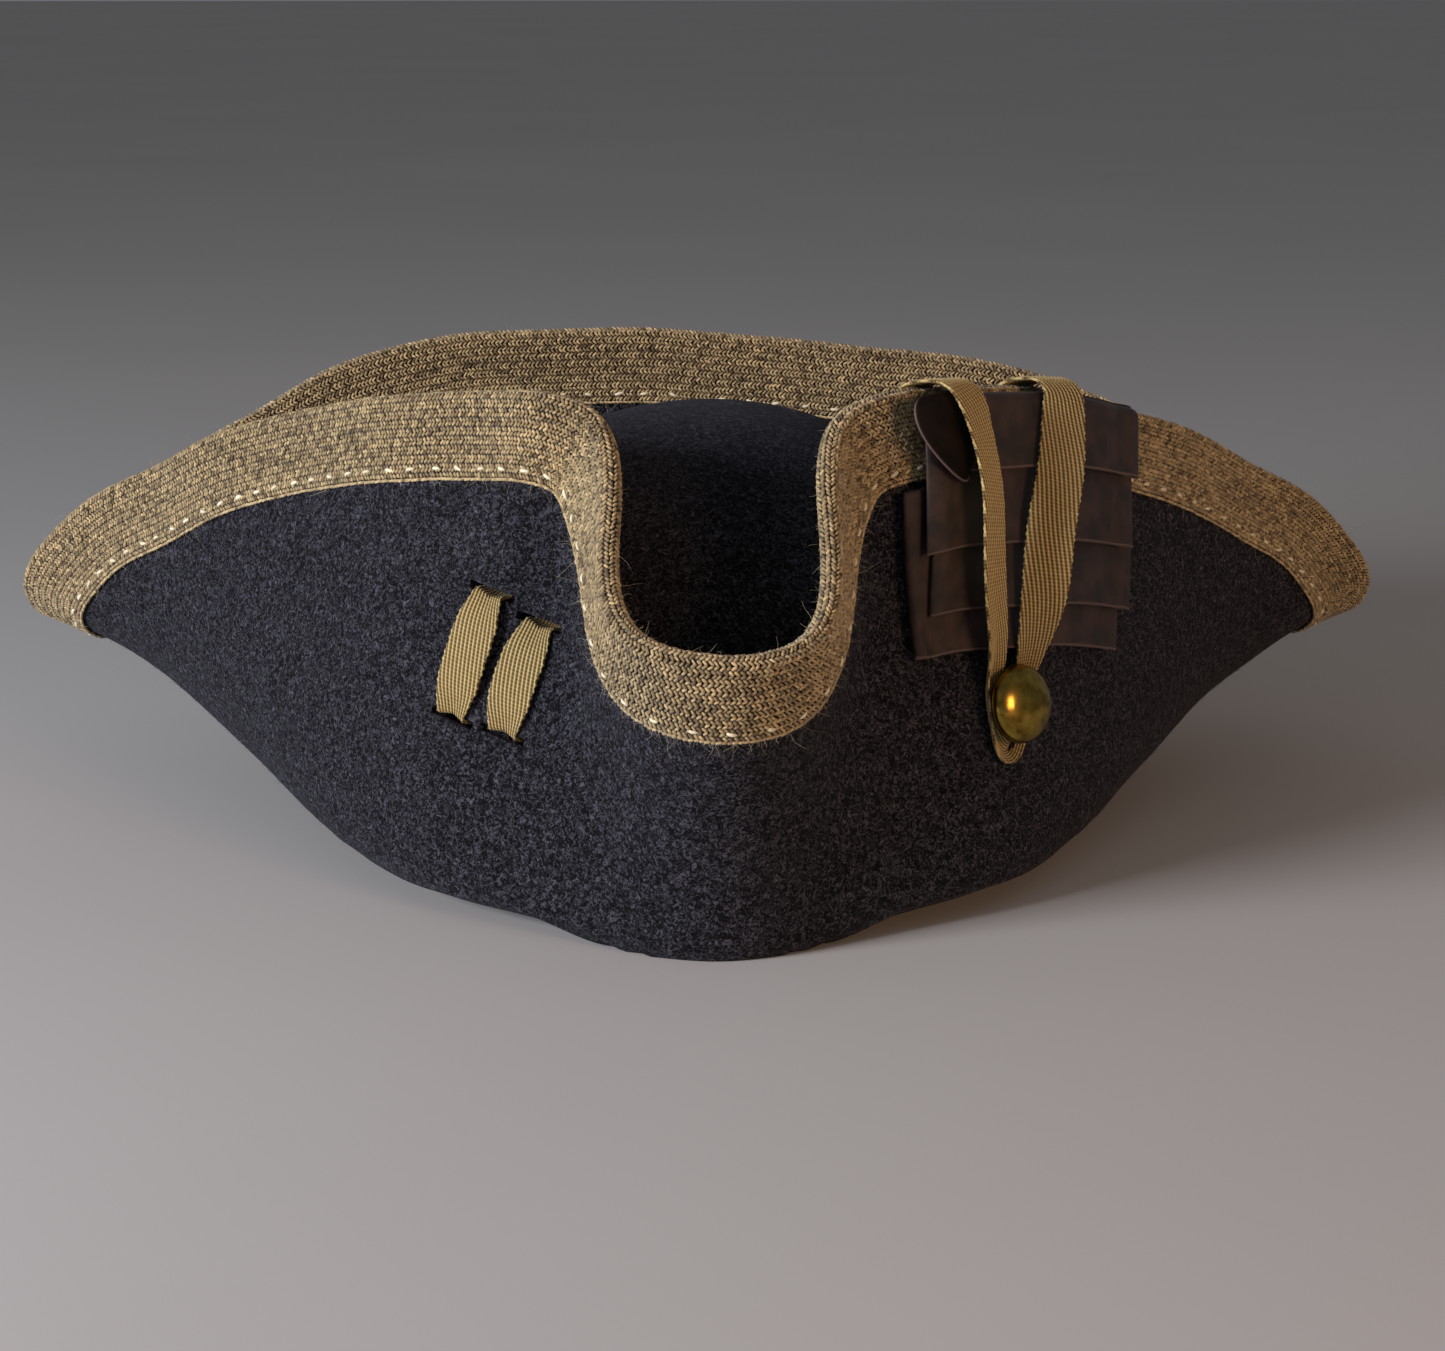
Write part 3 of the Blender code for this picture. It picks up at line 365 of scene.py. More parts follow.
def clear_of_crown(sections, shares):
    """Brim sections pushed straight out where they would stand too near the crown."""
    half_width, half_length = HEAD_WIDTH / 2 + CROWN_LAYERS, HEAD_LENGTH / 2 + CROWN_LAYERS
    height = np.clip(sections[..., 2], 0.0, CROWN_HEIGHT)
    shrink = (1.0 - (height / CROWN_HEIGHT) ** CROWN_POWER) ** (1 / CROWN_POWER)
    ease = np.clip(shares / CROWN_ROOM_START, 0.0, 1.0)
    room = CROWN_ROOM * ease ** 2 * (3.0 - 2.0 * ease)
    reach = np.hypot(sections[..., 0] / half_width, sections[..., 1] / half_length)
    short = (shrink + room / half_width) / np.maximum(reach, 0.2) - 1.0
    push = 1.0 + np.log1p(np.exp(np.clip(short, -0.5, 0.5) * CROWN_ROOM_EASE)) / CROWN_ROOM_EASE
    push = mix(1.0, push, ease)
    return sections * np.stack([push, push, np.ones_like(push)], axis=-1)


def lumps(points, size, span):
    """Points moved a little by a smooth unevenness."""
    moved = [noise.noise_vector(Vector(point) / span) for point in points.reshape(-1, 3)]
    return points + size * np.array(moved).reshape(points.shape)


class Felt:
    """The middle of the felt: rows for its own mesh, and a table of the brim by depth."""

    def __init__(self):
        edge, self.edge_length = edge_loop()
        controls = brim_controls(edge)
        shares = np.linspace(0.0, 1.0, SECTION_STEPS)
        sections = np.stack([bezier(controls, share) for share in shares], axis=1)
        sections = clear_of_crown(sections, shares)
        sections = mix(sections, lumps(sections, LUMP, LUMP_SPAN), np.clip(shares * 4, 0, 1)[None, :, None])
        self.brim = np.zeros((ROUND, BRIM_ROWS, 3))
        self.table = np.zeros((ROUND, DEEP + 1, 3))
        for i, section in enumerate(sections):
            lengths = line_lengths(section)
            self.brim[i] = at_lengths(np.linspace(0.0, lengths[-1], BRIM_ROWS), lengths, section)
            self.table[i] = at_lengths(lengths[-1] - np.arange(DEEP + 1), lengths, section)
        around = np.roll(self.table, -1, axis=0) - np.roll(self.table, 1, axis=0)
        self.normals = unit(np.cross(around, np.gradient(self.table, axis=1)))
        if self.normals[0, DEEP // 2, 1] > 0:
            self.normals = -self.normals
        self.rising = np.repeat(unit(self.table[:, :1] - self.table[:, 2:3]), DEEP + 1, axis=1)

    def read(self, table, along, down):
        spot = (along % self.edge_length) / self.edge_length * ROUND
        i = np.floor(spot).astype(int) % ROUND
        j = (i + 1) % ROUND
        s = (spot - np.floor(spot))[..., None]
        depth = np.clip(down, 0.0, DEEP - 1e-6)
        k = depth.astype(int)
        t = (depth - k)[..., None]
        return mix(mix(table[i, k], table[j, k], s), mix(table[i, k + 1], table[j, k + 1], s), t)

    def normal(self, along, down):
        along, down = np.broadcast_arrays(np.asarray(along, float), np.asarray(down, float))
        return unit(self.read(self.normals, along, down))

    def at(self, along, down, lift):
        """Points of the brim at places along, down and lifted."""
        along, down, lift = np.broadcast_arrays(*(np.asarray(v, float) for v in (along, down, lift)))
        beyond = np.maximum(-down, 0.0)[..., None]
        rising = self.read(self.rising, along, down)
        return self.read(self.table, along, down) + rising * beyond + self.normal(along, down) * lift[..., None]


# ---------------------------------------------------------------- meshes

def add_mesh(name, points, quads, triangles, material, uv=None, shade=None):
    """A mesh object from points in millimetres, its faces turned outwards as a whole."""
    kinds = [np.asarray(faces) for faces in (quads, triangles) if len(faces)]
    pieces = [(faces[:, 0], faces[:, k], faces[:, k + 1]) for faces in kinds for k in range(1, faces.shape[1] - 1)]
    volume = sum(np.einsum("ij,ij->", points[a], np.cross(points[b], points[c])) for a, b, c in pieces)
    if volume < 0:
        kinds = [faces[:, ::-1] for faces in kinds]
    corners = np.concatenate([faces.ravel() for faces in kinds]).astype(np.int32)
    sizes = np.concatenate([np.full(len(faces), faces.shape[1]) for faces in kinds])
    mesh = bpy.data.meshes.new(name)
    mesh.vertices.add(len(points))
    mesh.vertices.foreach_set("co", (points * MM).astype(np.float32).ravel())
    mesh.loops.add(len(corners))
    mesh.polygons.add(len(sizes))
    mesh.polygons.foreach_set("loop_start", (np.cumsum(sizes) - sizes).astype(np.int32))
    mesh.polygons.foreach_set("vertices", corners)
    mesh.update(calc_edges=True)
    mesh.shade_smooth()
    if uv is not None:
        layer = mesh.uv_layers.new(name="UVMap")
        layer.data.foreach_set("uv", uv[corners].astype(np.float32).ravel())
    if shade is not None:
        attribute = mesh.attributes.new("shade", "FLOAT", "POINT")
        attribute.data.foreach_set("value", shade.astype(np.float32))
    mesh.materials.append(material)
    thing = bpy.data.objects.new(name, mesh)
    bpy.context.scene.collection.objects.link(thing)
    return thing


def slab_faces(rows, columns, closed, poles=False):
    """Faces of a closed solid between two grids of rows by columns."""
    offset = rows * columns
    i = np.arange(rows if closed else rows - 1)
    j = (i + 1) % rows
    k = np.arange(columns - 1)
    a, b = (i[:, None] * columns + k).ravel(), (j[:, None] * columns + k).ravel()
    quads = [np.stack([a, b, b + 1, a + 1], axis=1), offset + np.stack([a, a + 1, b + 1, b], axis=1)]
    last_a, last_b = i * columns + columns - 1, j * columns + columns - 1
    quads.append(np.stack([last_a, last_b, offset + last_b, offset + last_a], axis=1))
    first_a, first_b = i * columns, j * columns
    triangles = np.zeros((0, 3), int)
    if poles:
        top, under = np.full(len(i), 2 * offset), np.full(len(i), 2 * offset + 1)
        triangles = np.concatenate([np.stack([top, first_b, first_a], axis=1),
                                    np.stack([under, offset + first_a, offset + first_b], axis=1)])
    else:
        quads.append(np.stack([first_b, first_a, offset + first_a, offset + first_b], axis=1))
    if not closed:
        end = (rows - 1) * columns + k
        quads.append(np.stack([k, k + 1, offset + k + 1, offset + k], axis=1))
        quads.append(np.stack([end, offset + end, offset + end + 1, end + 1], axis=1))
    return np.concatenate(quads), triangles


def pattern_places(across_it, along_it):
    """Pattern coordinates on a sheet: one unit is 100 mm of cloth."""
    return np.stack(np.broadcast_arrays(across_it / 100.0, along_it / 100.0), axis=-1)


def add_slab(name, front, back, closed, material, uv=None, poles=None):
    """A closed solid between two grids of points; uv is one grid for both faces."""
    rows, columns = front.shape[:2]
    points = np.concatenate([front.reshape(-1, 3), back.reshape(-1, 3)])
    if poles is not None:
        points = np.concatenate([points, np.array(poles)])
    if uv is not None:
        uv = np.concatenate([uv.reshape(-1, 2), uv.reshape(-1, 2), np.zeros((2 if poles is not None else 0, 2))])
    quads, triangles = slab_faces(rows, columns, closed, poles is not None)
    return add_mesh(name, points, quads, triangles, material, uv=uv)


def repeated(faces, each, count):
    """One shape's faces numbered again for every copy."""
    return (np.array(faces)[None] + (np.arange(count) * each)[:, None, None]).reshape(-1, len(faces[0]))


def row_reaches(sheet):
    """How far every point of a sheet is along its own row."""
    steps = np.cumsum(np.linalg.norm(np.diff(sheet, axis=1), axis=2), axis=1)
    return np.concatenate([np.zeros((len(sheet), 1)), steps], axis=1)


def add_grains(name, places, ways, outs, sizes, material, shade, sides=5, stops=(-0.55, 0.55), dip=0.3):
    """Many short rounded strands: ways is along each, outs is off the surface, dip lowers the ends."""
    count = len(places)
    sideways = unit(np.cross(outs, ways))
    turns = 2 * math.pi * (np.arange(sides) + 0.5) / sides
    rings = []
    for stop in stops:
        fat = math.sqrt(max(1.0 - abs(stop) ** 3, 0.0)) * 1.05
        middle = places + ways * sizes[:, :1] / 2 * stop - outs * dip * stop ** 2
        ring = middle[:, None] + (sideways[:, None] * np.cos(turns)[None, :, None] * sizes[:, None, 1:2]
                                  + outs[:, None] * np.sin(turns)[None, :, None] * sizes[:, None, 2:3]) / 2 * fat
        rings.append(ring)
    tips = [(places + ways * sizes[:, :1] / 2 * end - outs * dip)[:, None] for end in (-1.0, 1.0)]
    points = np.concatenate([tips[0], *rings, tips[1]], axis=1)
    each = points.shape[1]
    quads, triangles = [], []
    for k in range(sides):
        j = (k + 1) % sides
        triangles.append((0, 1 + j, 1 + k))
        triangles.append((each - 1, each - 1 - sides + k, each - 1 - sides + j))
        for ring in range(len(stops) - 1):
            base = 1 + ring * sides
            quads.append((base + k, base + j, base + sides + j, base + sides + k))
    return add_mesh(name, points.reshape(-1, 3), repeated(quads, each, count), repeated(triangles, each, count),
                    material, shade=np.repeat(shade, each))


def add_hairs(name, roots, ways, lengths, bends, thickness, material, shade, joints=5):
    """Many curved hairs, each a thin three sided tube closed at both ends."""
    share = np.linspace(0.0, 1.0, joints)[None, :, None]
    reach = lengths[:, None, None]
    paths = roots[:, None] + reach * (ways[:, None] * share + bends[:, None] * share ** 2)
    paths += reach * 0.06 * np.sin(share * 9.0 + roots[:, None, :1] * 3.0) * np.roll(ways, 1, axis=1)[:, None]
    tangents = unit(np.gradient(paths, axis=1))
    sides = unit(np.cross(tangents, np.roll(ways, 1, axis=1)[:, None] + 0.01))
    others = np.cross(tangents, sides)
    turns = 2 * math.pi * np.arange(3) / 3
    radius = thickness / 2 * (1.0 - 0.6 * share[..., None])
    points = paths[:, :, None] + radius * (sides[:, :, None] * np.cos(turns)[None, None, :, None]
                                           + others[:, :, None] * np.sin(turns)[None, None, :, None])
    quads = []
    for joint in range(joints - 1):
        for k in range(3):
            j = (k + 1) % 3
            quads.append((joint * 3 + k, joint * 3 + j, joint * 3 + 3 + j, joint * 3 + 3 + k))
    end = (joints - 1) * 3
    triangles = [(2, 1, 0), (end, end + 1, end + 2)]
    count, each = len(roots), joints * 3
    return add_mesh(name, points.reshape(-1, 3), repeated(quads, each, count), repeated(triangles, each, count),
                    material, shade=np.repeat(shade, each))


def belongs(thing, body, slot, *nodes):
    """Rides a piece on its body and hides the CAD nodes that it stands for; slot, the name of its finish, is not used.
    """
    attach(thing, body)
    if nodes:
        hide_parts(*nodes)
    return thing


# ---------------------------------------------------------------- materials

def start(name, roughness, metallic=0.0, sheen=0.0, sheen_roughness=0.5, sheen_tint="#ffffff", specular=0.5):
    """A new material and its shader, with what is the same all over the surface set on it."""
    material = bpy.data.materials.new(name)
    material.use_nodes = True
    shader = material.node_tree.nodes["Principled BSDF"]
    shader.inputs["Roughness"].default_value = roughness
    shader.inputs["Metallic"].default_value = metallic
    shader.inputs["Sheen Weight"].default_value = sheen
    shader.inputs["Sheen Roughness"].default_value = sheen_roughness
    shader.inputs["Sheen Tint"].default_value = linear(sheen_tint)
    shader.inputs["Specular IOR Level"].default_value = specular
    return material, shader


def add(material, kind, links, **settings):
    """Adds a node: links fills its inputs with sockets, values or web colours, settings its properties."""
    made = material.node_tree.nodes.new("ShaderNode" + kind)
    for name, value in settings.items():
        setattr(made, name, value)
    for name, value in links.items():
        if isinstance(value, bpy.types.NodeSocket):
            material.node_tree.links.new(value, made.inputs[name])
        else:
            made.inputs[name].default_value = linear(value) if isinstance(value, str) else value
    return made


def join(material, shader, **links):
    for name, socket in links.items():
        material.node_tree.links.new(socket, shader.inputs[name.replace("_", " ")])
    return material


def felt_wool():
    """Fulled and brushed wool felt: blue black, matt, with paler hairs that make fine flecks."""
    material, shader = start("felt_wool", 0.95, sheen=0.115, sheen_roughness=0.4, sheen_tint="#a0a0ae", specular=0.12)
    place = add(material, "TexCoord", {}).outputs["Object"]
    hairs = add(material, "TexNoise", {"Vector": place, "Scale": 800.0, "Detail": 6.0, "Roughness": 0.7,
                                                 "Distortion": 1.5}).outputs["Fac"]
    flecks = add(material, "MapRange", {"Value": hairs, "From Min": 0.48, "From Max": 0.68}).outputs["Result"]
    mottle = add(material, "TexNoise", {"Vector": place, "Scale": 90.0, "Detail": 4.0}).outputs["Fac"]
    ground = add(material, "Mix", {0: mottle, 6: "#050507", 7: "#0d0d11"}, data_type="RGBA")
    colour = add(material, "Mix", {0: flecks, 6: ground.outputs[2], 7: "#5c5c66"}, data_type="RGBA")
    relief = add(material, "Math", {0: hairs, 1: mottle}, operation="ADD").outputs[0]
    bump = add(material, "Bump", {"Height": relief, "Strength": 0.8, "Distance": 0.0007})
    return join(material, shader, Base_Color=colour.outputs[2], Normal=bump.outputs["Normal"])


def shaded_wool(name, dark, light, roughness=0.85, sheen=0.3):
    """Loose or plied wool: each strand has its own tone between two, with finer fibres along it."""
    material, shader = start(name, roughness, sheen=sheen, sheen_roughness=0.5, specular=0.2)
    tone = add(material, "Attribute", {}, attribute_name="shade").outputs["Fac"]
    place = add(material, "TexCoord", {}).outputs["Object"]
    fibre = add(material, "TexNoise", {"Vector": place, "Scale": 2600.0, "Detail": 3.0}).outputs["Fac"]
    mixed = add(material, "Math", {0: fibre, 1: 0.5, 2: tone}, operation="MULTIPLY_ADD").outputs[0]
    level = add(material, "MapRange", {"Value": mixed, "From Min": 0.15, "From Max": 1.1}).outputs["Result"]
    colour = add(material, "Mix", {0: level, 6: dark, 7: light}, data_type="RGBA")
    bump = add(material, "Bump", {"Height": fibre, "Strength": 0.5, "Distance": 0.0003})
    return join(material, shader, Base_Color=colour.outputs[2], Normal=bump.outputs["Normal"])


def gold_twill():
    """Twill tape of mercerised cotton: pale gold ribs on a slant, painted dark brown as shade in the grooves, soft
    shine.
    """
    material, shader = start("gold_twill", 0.55, sheen=0.2, specular=0.35)
    place = add(material, "UVMap", {}, uv_map="UVMap").outputs["UV"]
    parts = add(material, "SeparateXYZ", {"Vector": place})
    slanted = add(material, "Math", {0: parts.outputs["Y"], 1: RIB_SLANT, 2: parts.outputs["X"]},
                  operation="MULTIPLY_ADD").outputs[0]
    turn = add(material, "Math", {0: slanted, 1: 2 * math.pi * 100 / RIB_PITCH}, operation="MULTIPLY")
    rib = add(material, "Math", {0: turn.outputs[0]}, operation="COSINE").outputs[0]
    beat = add(material, "Math", {0: parts.outputs["Y"], 1: 2 * math.pi * 100 / 0.95}, operation="MULTIPLY")
    bead = add(material, "Math", {0: beat.outputs[0]}, operation="COSINE").outputs[0]
    knots = add(material, "Math", {0: bead, 1: 0.35, 2: rib}, operation="MULTIPLY_ADD").outputs[0]
    level = add(material, "MapRange", {"Value": knots, "From Min": -0.9, "From Max": 0.9}).outputs["Result"]
    worn = add(material, "TexNoise", {"Vector": place, "Scale": 60.0, "Detail": 3.0}).outputs["Fac"]
    pale = add(material, "Mix", {0: worn, 6: "#b3924c", 7: "#d9c78c"}, data_type="RGBA")
    # painted shade: the rib relief also sets the colour, dark brown in the grooves between the ribs
    colour = add(material, "Mix", {0: level, 6: "#523c14", 7: pale.outputs[2]}, data_type="RGBA")
    bump = add(material, "Bump", {"Height": knots, "Strength": 0.6, "Distance": 0.0002})
    return join(material, shader, Base_Color=colour.outputs[2], Normal=bump.outputs["Normal"])


def satin(name="satin_ribbon", light=1.0):
    """Silk satin ribbon, dark plum brown: a fine grain with a soft broken sheen, partly painted as paler warm patches,
    paler selvedge.
    """
    # light below 1 paints shade: it cuts the sheen and shine here, and darkens the colour towards near black below
    material, shader = start(name, 0.5, sheen=0.12 * light, sheen_roughness=0.35, sheen_tint="#a9b0c0",
                             specular=0.45 * light)
    place = add(material, "UVMap", {}, uv_map="UVMap").outputs["UV"]
    parts = add(material, "SeparateXYZ", {"Vector": place})
    stretched = add(material, "VectorMath", {0: place, 1: (30.0, 90.0, 1.0)}, operation="MULTIPLY")
    floats = add(material, "TexNoise", {"Vector": stretched.outputs[0], "Scale": 14.0, "Detail": 5.0,
                                                  "Roughness": 0.7}).outputs["Fac"]
    cloud = add(material, "TexNoise", {"Vector": place, "Scale": 9.0, "Detail": 4.0,
                                                 "Roughness": 0.6}).outputs["Fac"]
    grain = add(material, "MapRange", {"Value": floats, "From Min": 0.3, "From Max": 0.7}).outputs["Result"]
    patch = add(material, "MapRange", {"Value": cloud, "From Min": 0.4, "From Max": 0.62}).outputs["Result"]
    body = add(material, "Mix", {0: grain, 6: "#0e0908", 7: "#251a16"}, data_type="RGBA")
    # painted sheen: the cloud noise mixes in paler warm patches that stand for the satin's broken sheen
    warm = add(material, "Mix", {0: grain, 6: "#1f1310", 7: "#4e3730"}, data_type="RGBA")
    mixed = add(material, "Mix", {0: patch, 6: body.outputs[2], 7: warm.outputs[2]}, data_type="RGBA")
    selvedge = add(material, "MapRange", {"Value": parts.outputs["Y"], "From Min": 0.0070,
                                                    "From Max": 0.0045}).outputs["Result"]
    colour = add(material, "Mix", {0: selvedge, 6: mixed.outputs[2], 7: "#5e4d49"}, data_type="RGBA")
    # painted shade: with light below 1 the colour is mixed towards near black #030202
    colour = add(material, "Mix", {0: 1.0 - light, 6: colour.outputs[2], 7: "#030202"},
                 data_type="RGBA")
    bump = add(material, "Bump", {"Height": floats, "Strength": 0.5, "Distance": 0.0003})
    return join(material, shader, Base_Color=colour.outputs[2], Normal=bump.outputs["Normal"])


def cloth(name, dark, light, thread, roughness=0.85):
    """Plain woven cloth: threads over and under, a thread apart in millimetres, a little uneven."""
    material, shader = start(name, roughness, sheen=0.2, specular=0.25)
    place = add(material, "UVMap", {}, uv_map="UVMap").outputs["UV"]
    weave = []
    for axis in ("X", "Y"):
        part = add(material, "SeparateXYZ", {"Vector": place}).outputs[axis]
        turn = add(material, "Math", {0: part, 1: math.pi * 100 / thread}, operation="MULTIPLY")
        weave.append(add(material, "Math", {0: turn.outputs[0]}, operation="SINE").outputs[0])
    crossed = add(material, "Math", {0: weave[0], 1: weave[1]}, operation="MULTIPLY").outputs[0]
    slub = add(material, "TexNoise", {"Vector": place, "Scale": 40.0, "Detail": 5.0}).outputs["Fac"]
    mixed = add(material, "Math", {0: crossed, 1: 0.3, 2: slub}, operation="MULTIPLY_ADD").outputs[0]
    colour = add(material, "Mix", {0: mixed, 6: dark, 7: light}, data_type="RGBA")
    bump = add(material, "Bump", {"Height": mixed, "Strength": 0.5, "Distance": 0.0002})
    return join(material, shader, Base_Color=colour.outputs[2], Normal=bump.outputs["Normal"])


def leather():
    """Vegetable tanned sheepskin: fine pebbled grain, darker where the head has rubbed it."""
    material, shader = start("sweatband_leather", 0.5, specular=0.4)
    place = add(material, "TexCoord", {}).outputs["Object"]
    grain = add(material, "TexVoronoi", {"Vector": place, "Scale": 1300.0}).outputs["Distance"]
    stain = add(material, "TexNoise", {"Vector": place, "Scale": 45.0, "Detail": 5.0}).outputs["Fac"]
    colour = add(material, "Mix", {0: stain, 6: "#4e2a14", 7: "#9a6236"}, data_type="RGBA")
    bump = add(material, "Bump", {"Height": grain, "Strength": 0.35, "Distance": 0.0003})
    return join(material, shader, Base_Color=colour.outputs[2], Normal=bump.outputs["Normal"])


def metal(name, dark, light, roughness):
    """Pressed brass, aged: a thin brown film with the polish worn through, faint scratches."""
    material, shader = start(name, roughness, metallic=1.0)
    place = add(material, "TexCoord", {}).outputs["Object"]
    film = add(material, "TexNoise", {"Vector": place, "Scale": 260.0, "Detail": 6.0,
                                                "Roughness": 0.6}).outputs["Fac"]
    level = add(material, "MapRange", {"Value": film, "From Min": 0.35, "From Max": 0.7}).outputs["Result"]
    colour = add(material, "Mix", {0: level, 6: dark, 7: light}, data_type="RGBA")
    dull = add(material, "MapRange", {"Value": film, "From Min": 0.3, "From Max": 0.7,
                                                "To Min": roughness + 0.12, "To Max": roughness - 0.05})
    scratch = add(material, "TexNoise", {"Vector": place, "Scale": 1800.0, "Detail": 2.0}).outputs["Fac"]
    bump = add(material, "Bump", {"Height": scratch, "Strength": 0.06, "Distance": 0.0001})
    return join(material, shader, Base_Color=colour.outputs[2], Roughness=dull.outputs["Result"],
                Normal=bump.outputs["Normal"])


def studio_paper():
    """Pale matt background paper, very faintly uneven."""
    material, shader = start("studio_paper", 0.9, specular=0.2)
    place = add(material, "TexCoord", {}).outputs["Object"]
    cloud = add(material, "TexNoise", {"Vector": place, "Scale": 3.0, "Detail": 3.0}).outputs["Fac"]
    colour = add(material, "Mix", {0: cloud, 6: "#b9b7b4", 7: "#c3c1be"}, data_type="RGBA")
    return join(material, shader, Base_Color=colour.outputs[2])


# ---------------------------------------------------------------- camera, floor, light

def make_camera():
    turn, rise = math.radians(CAMERA_TURN), math.radians(CAMERA_RISE)
    back = Vector((math.sin(turn) * math.cos(rise), -math.cos(turn) * math.cos(rise), math.sin(rise)))
    right = Vector((math.cos(turn), math.sin(turn), 0.0))
    up = back.cross(right)
    place = (back * CAMERA_AWAY + right * CAMERA_SHIFT[0] + up * CAMERA_SHIFT[1]) * MM
    data = bpy.data.cameras.new("camera")
    data.lens = CAMERA_LENS
    data.sensor_width = CAMERA_SENSOR
    data.clip_start = 0.01
    camera = bpy.data.objects.new("camera", data)
    camera.matrix_world = Matrix([[right[k], up[k], back[k], place[k]] for k in range(3)] + [[0.0, 0.0, 0.0, 1.0]])
    bpy.context.scene.collection.objects.link(camera)
    bpy.context.scene.camera = camera


def make_light(name, place, aim, size, watts, colour):
    data = bpy.data.lights.new(name, "AREA")
    data.shape = "RECTANGLE"
    data.size, data.size_y = size
    data.energy = watts
    data.color = linear(colour)[:3]
    light = bpy.data.objects.new(name, data)
    light.location = place
    light.rotation_euler = (Vector(place) - Vector(aim)).to_track_quat("Z", "Y").to_euler()
    bpy.context.scene.collection.objects.link(light)


def make_studio():
    """Pale floor, a large soft light from the left, a weaker warm one from the right, dim room."""
    bpy.ops.object.select_all(action="DESELECT")
    bpy.ops.mesh.primitive_plane_add(size=12.0, location=(0.0, 2.0, cad_low.z - 0.0005))
    floor = bpy.context.object
    floor.name = "studio_floor"
    bpy.ops.object.transform_apply(location=True, rotation=True, scale=True)
    floor.data.materials.append(studio_paper())
    make_light("window", (-1.15, -0.80, 0.48), (0.0, 0.0, 0.05), (0.45, 0.45), 25.0, "#f2f2fb")
    make_light("warm_side", (0.75, -1.05, 0.35), (0.05, 0.0, 0.05), (0.35, 0.35), 4.6, "#ffc794")
    world = bpy.data.worlds.new("room")
    world.use_nodes = True
    world.node_tree.nodes["Background"].inputs["Color"].default_value = linear("#d9dbe2")
    world.node_tree.nodes["Background"].inputs["Strength"].default_value = 0.22
    bpy.context.scene.world = world
    bpy.context.scene.view_settings.view_transform = "Standard"


# ---------------------------------------------------------------- felt

def felt_rows(felt):
    """Points and outward normals of the whole felt, from near the crown's top to the edge."""
    every = ROUND // FELT_STATIONS
    angles = np.linspace(0.0, 2 * math.pi, FELT_STATIONS, endpoint=False)
    steps = np.linspace(90.0, 0.0, CROWN_ROWS + 1)[1:-1]
    crown = np.stack([crown_row(angles, step) for step in steps], axis=1)
    crown = lumps(crown, LUMP, LUMP_SPAN * 1.4)
    grid = np.concatenate([crown, felt.brim[::every]], axis=1)
    headline = len(steps)
    for _ in range(3):
        eased = (grid[:, :-2] + 2 * grid[:, 1:-1] + grid[:, 2:]) / 4
        near = slice(headline - 3, headline + 4)
        grid[:, 1:-1][:, near] = eased[:, near]
    around = np.roll(grid, -1, axis=0) - np.roll(grid, 1, axis=0)
    normals = unit(np.cross(np.gradient(grid, axis=1), around))
    return grid, normals


def make_felt(felt, rows, normals, material):
    """The blocked felt, closed at the crown's top and round its edge, slit for the tapes."""
    top = [UP * (CROWN_HEIGHT + FELT / 2), UP * (CROWN_HEIGHT - FELT / 2)]
    body = add_slab("felt_hat", rows + normals * FELT / 2, rows - normals * FELT / 2, True, material, poles=top)
    cut_slits(felt, body)
    return belongs(body, "hat", "felt_wool", "felt_body")


def tape_slits(felt):
    """Each cocking tape's name with the places of its upper and lower slit."""
    return [(name, (origin + upper_along, upper_down), (origin + lower_along, lower_down))
            for group, origin in ((COCKING_TAPES, 0.0), (BACK_TAPES, felt.edge_length / 2))
            for name, (upper_along, upper_down, lower_along, lower_down) in group.items()]


def cut_slits(felt, body):
    """Narrow slits through the felt, one at each end of a cocking tape's outer run."""
    places = [(*slit, felt.at(*lower, 0.0) - felt.at(*upper, 0.0))
              for _, upper, lower in tape_slits(felt) for slit in (upper, lower)]
    cutters = []
    for along, down, way in places:
        out = felt.normal(along, down)
        tall = unit(across(way, out))
        wide = np.cross(tall, out)
        place = felt.at(along, down, 0.0) * MM
        bpy.ops.object.select_all(action="DESELECT")
        bpy.ops.mesh.primitive_cube_add(size=1.0)
        cutter = bpy.context.object
        size = (TAPE_WIDTH + 2 * SLIT_PLAY, SLIT_HEIGHT, 4 * FELT)
        turned = Matrix([[*(axis[k] * side * MM for axis, side in zip((wide, tall, out), size)), place[k]]
                         for k in range(3)] + [[0.0, 0.0, 0.0, 1.0]])
        cutter.data.transform(turned)
        cutters.append(cutter)
    bpy.ops.object.select_all(action="DESELECT")
    for cutter in cutters:
        cutter.select_set(True)
    bpy.context.view_layer.objects.active = cutters[0]
    bpy.ops.object.join()
    joined = bpy.context.object
    slits = body.modifiers.new("slits", "BOOLEAN")
    slits.object = joined
    slits.operation = "DIFFERENCE"
    slits.solver = "MANIFOLD"
    bpy.ops.object.select_all(action="DESELECT")
    body.select_set(True)
    bpy.context.view_layer.objects.active = body
    bpy.ops.object.modifier_apply(modifier="slits")
    bpy.data.objects.remove(joined)


def scatter(grid, normals, count, draw):
    """Random places spread evenly over a closed grid, with the surface's normal at each."""
    nxt, nxt_normals = np.roll(grid, -1, axis=0), np.roll(normals, -1, axis=0)
    across_rows, around = grid[:, 1:] - grid[:, :-1], nxt[:, :-1] - grid[:, :-1]
    areas = np.linalg.norm(np.cross(across_rows, around), axis=-1)
    chosen = draw.choice(areas.size, count, p=(areas / areas.sum()).ravel())
    i, k = np.unravel_index(chosen, areas.shape)
    s, t = draw.random((2, count, 1))
    places = mix(mix(grid[i, k], nxt[i, k], s), mix(grid[i, k + 1], nxt[i, k + 1], s), t)
    outs = unit(mix(normals[i, k], nxt_normals[i, k], s))
    return places, outs


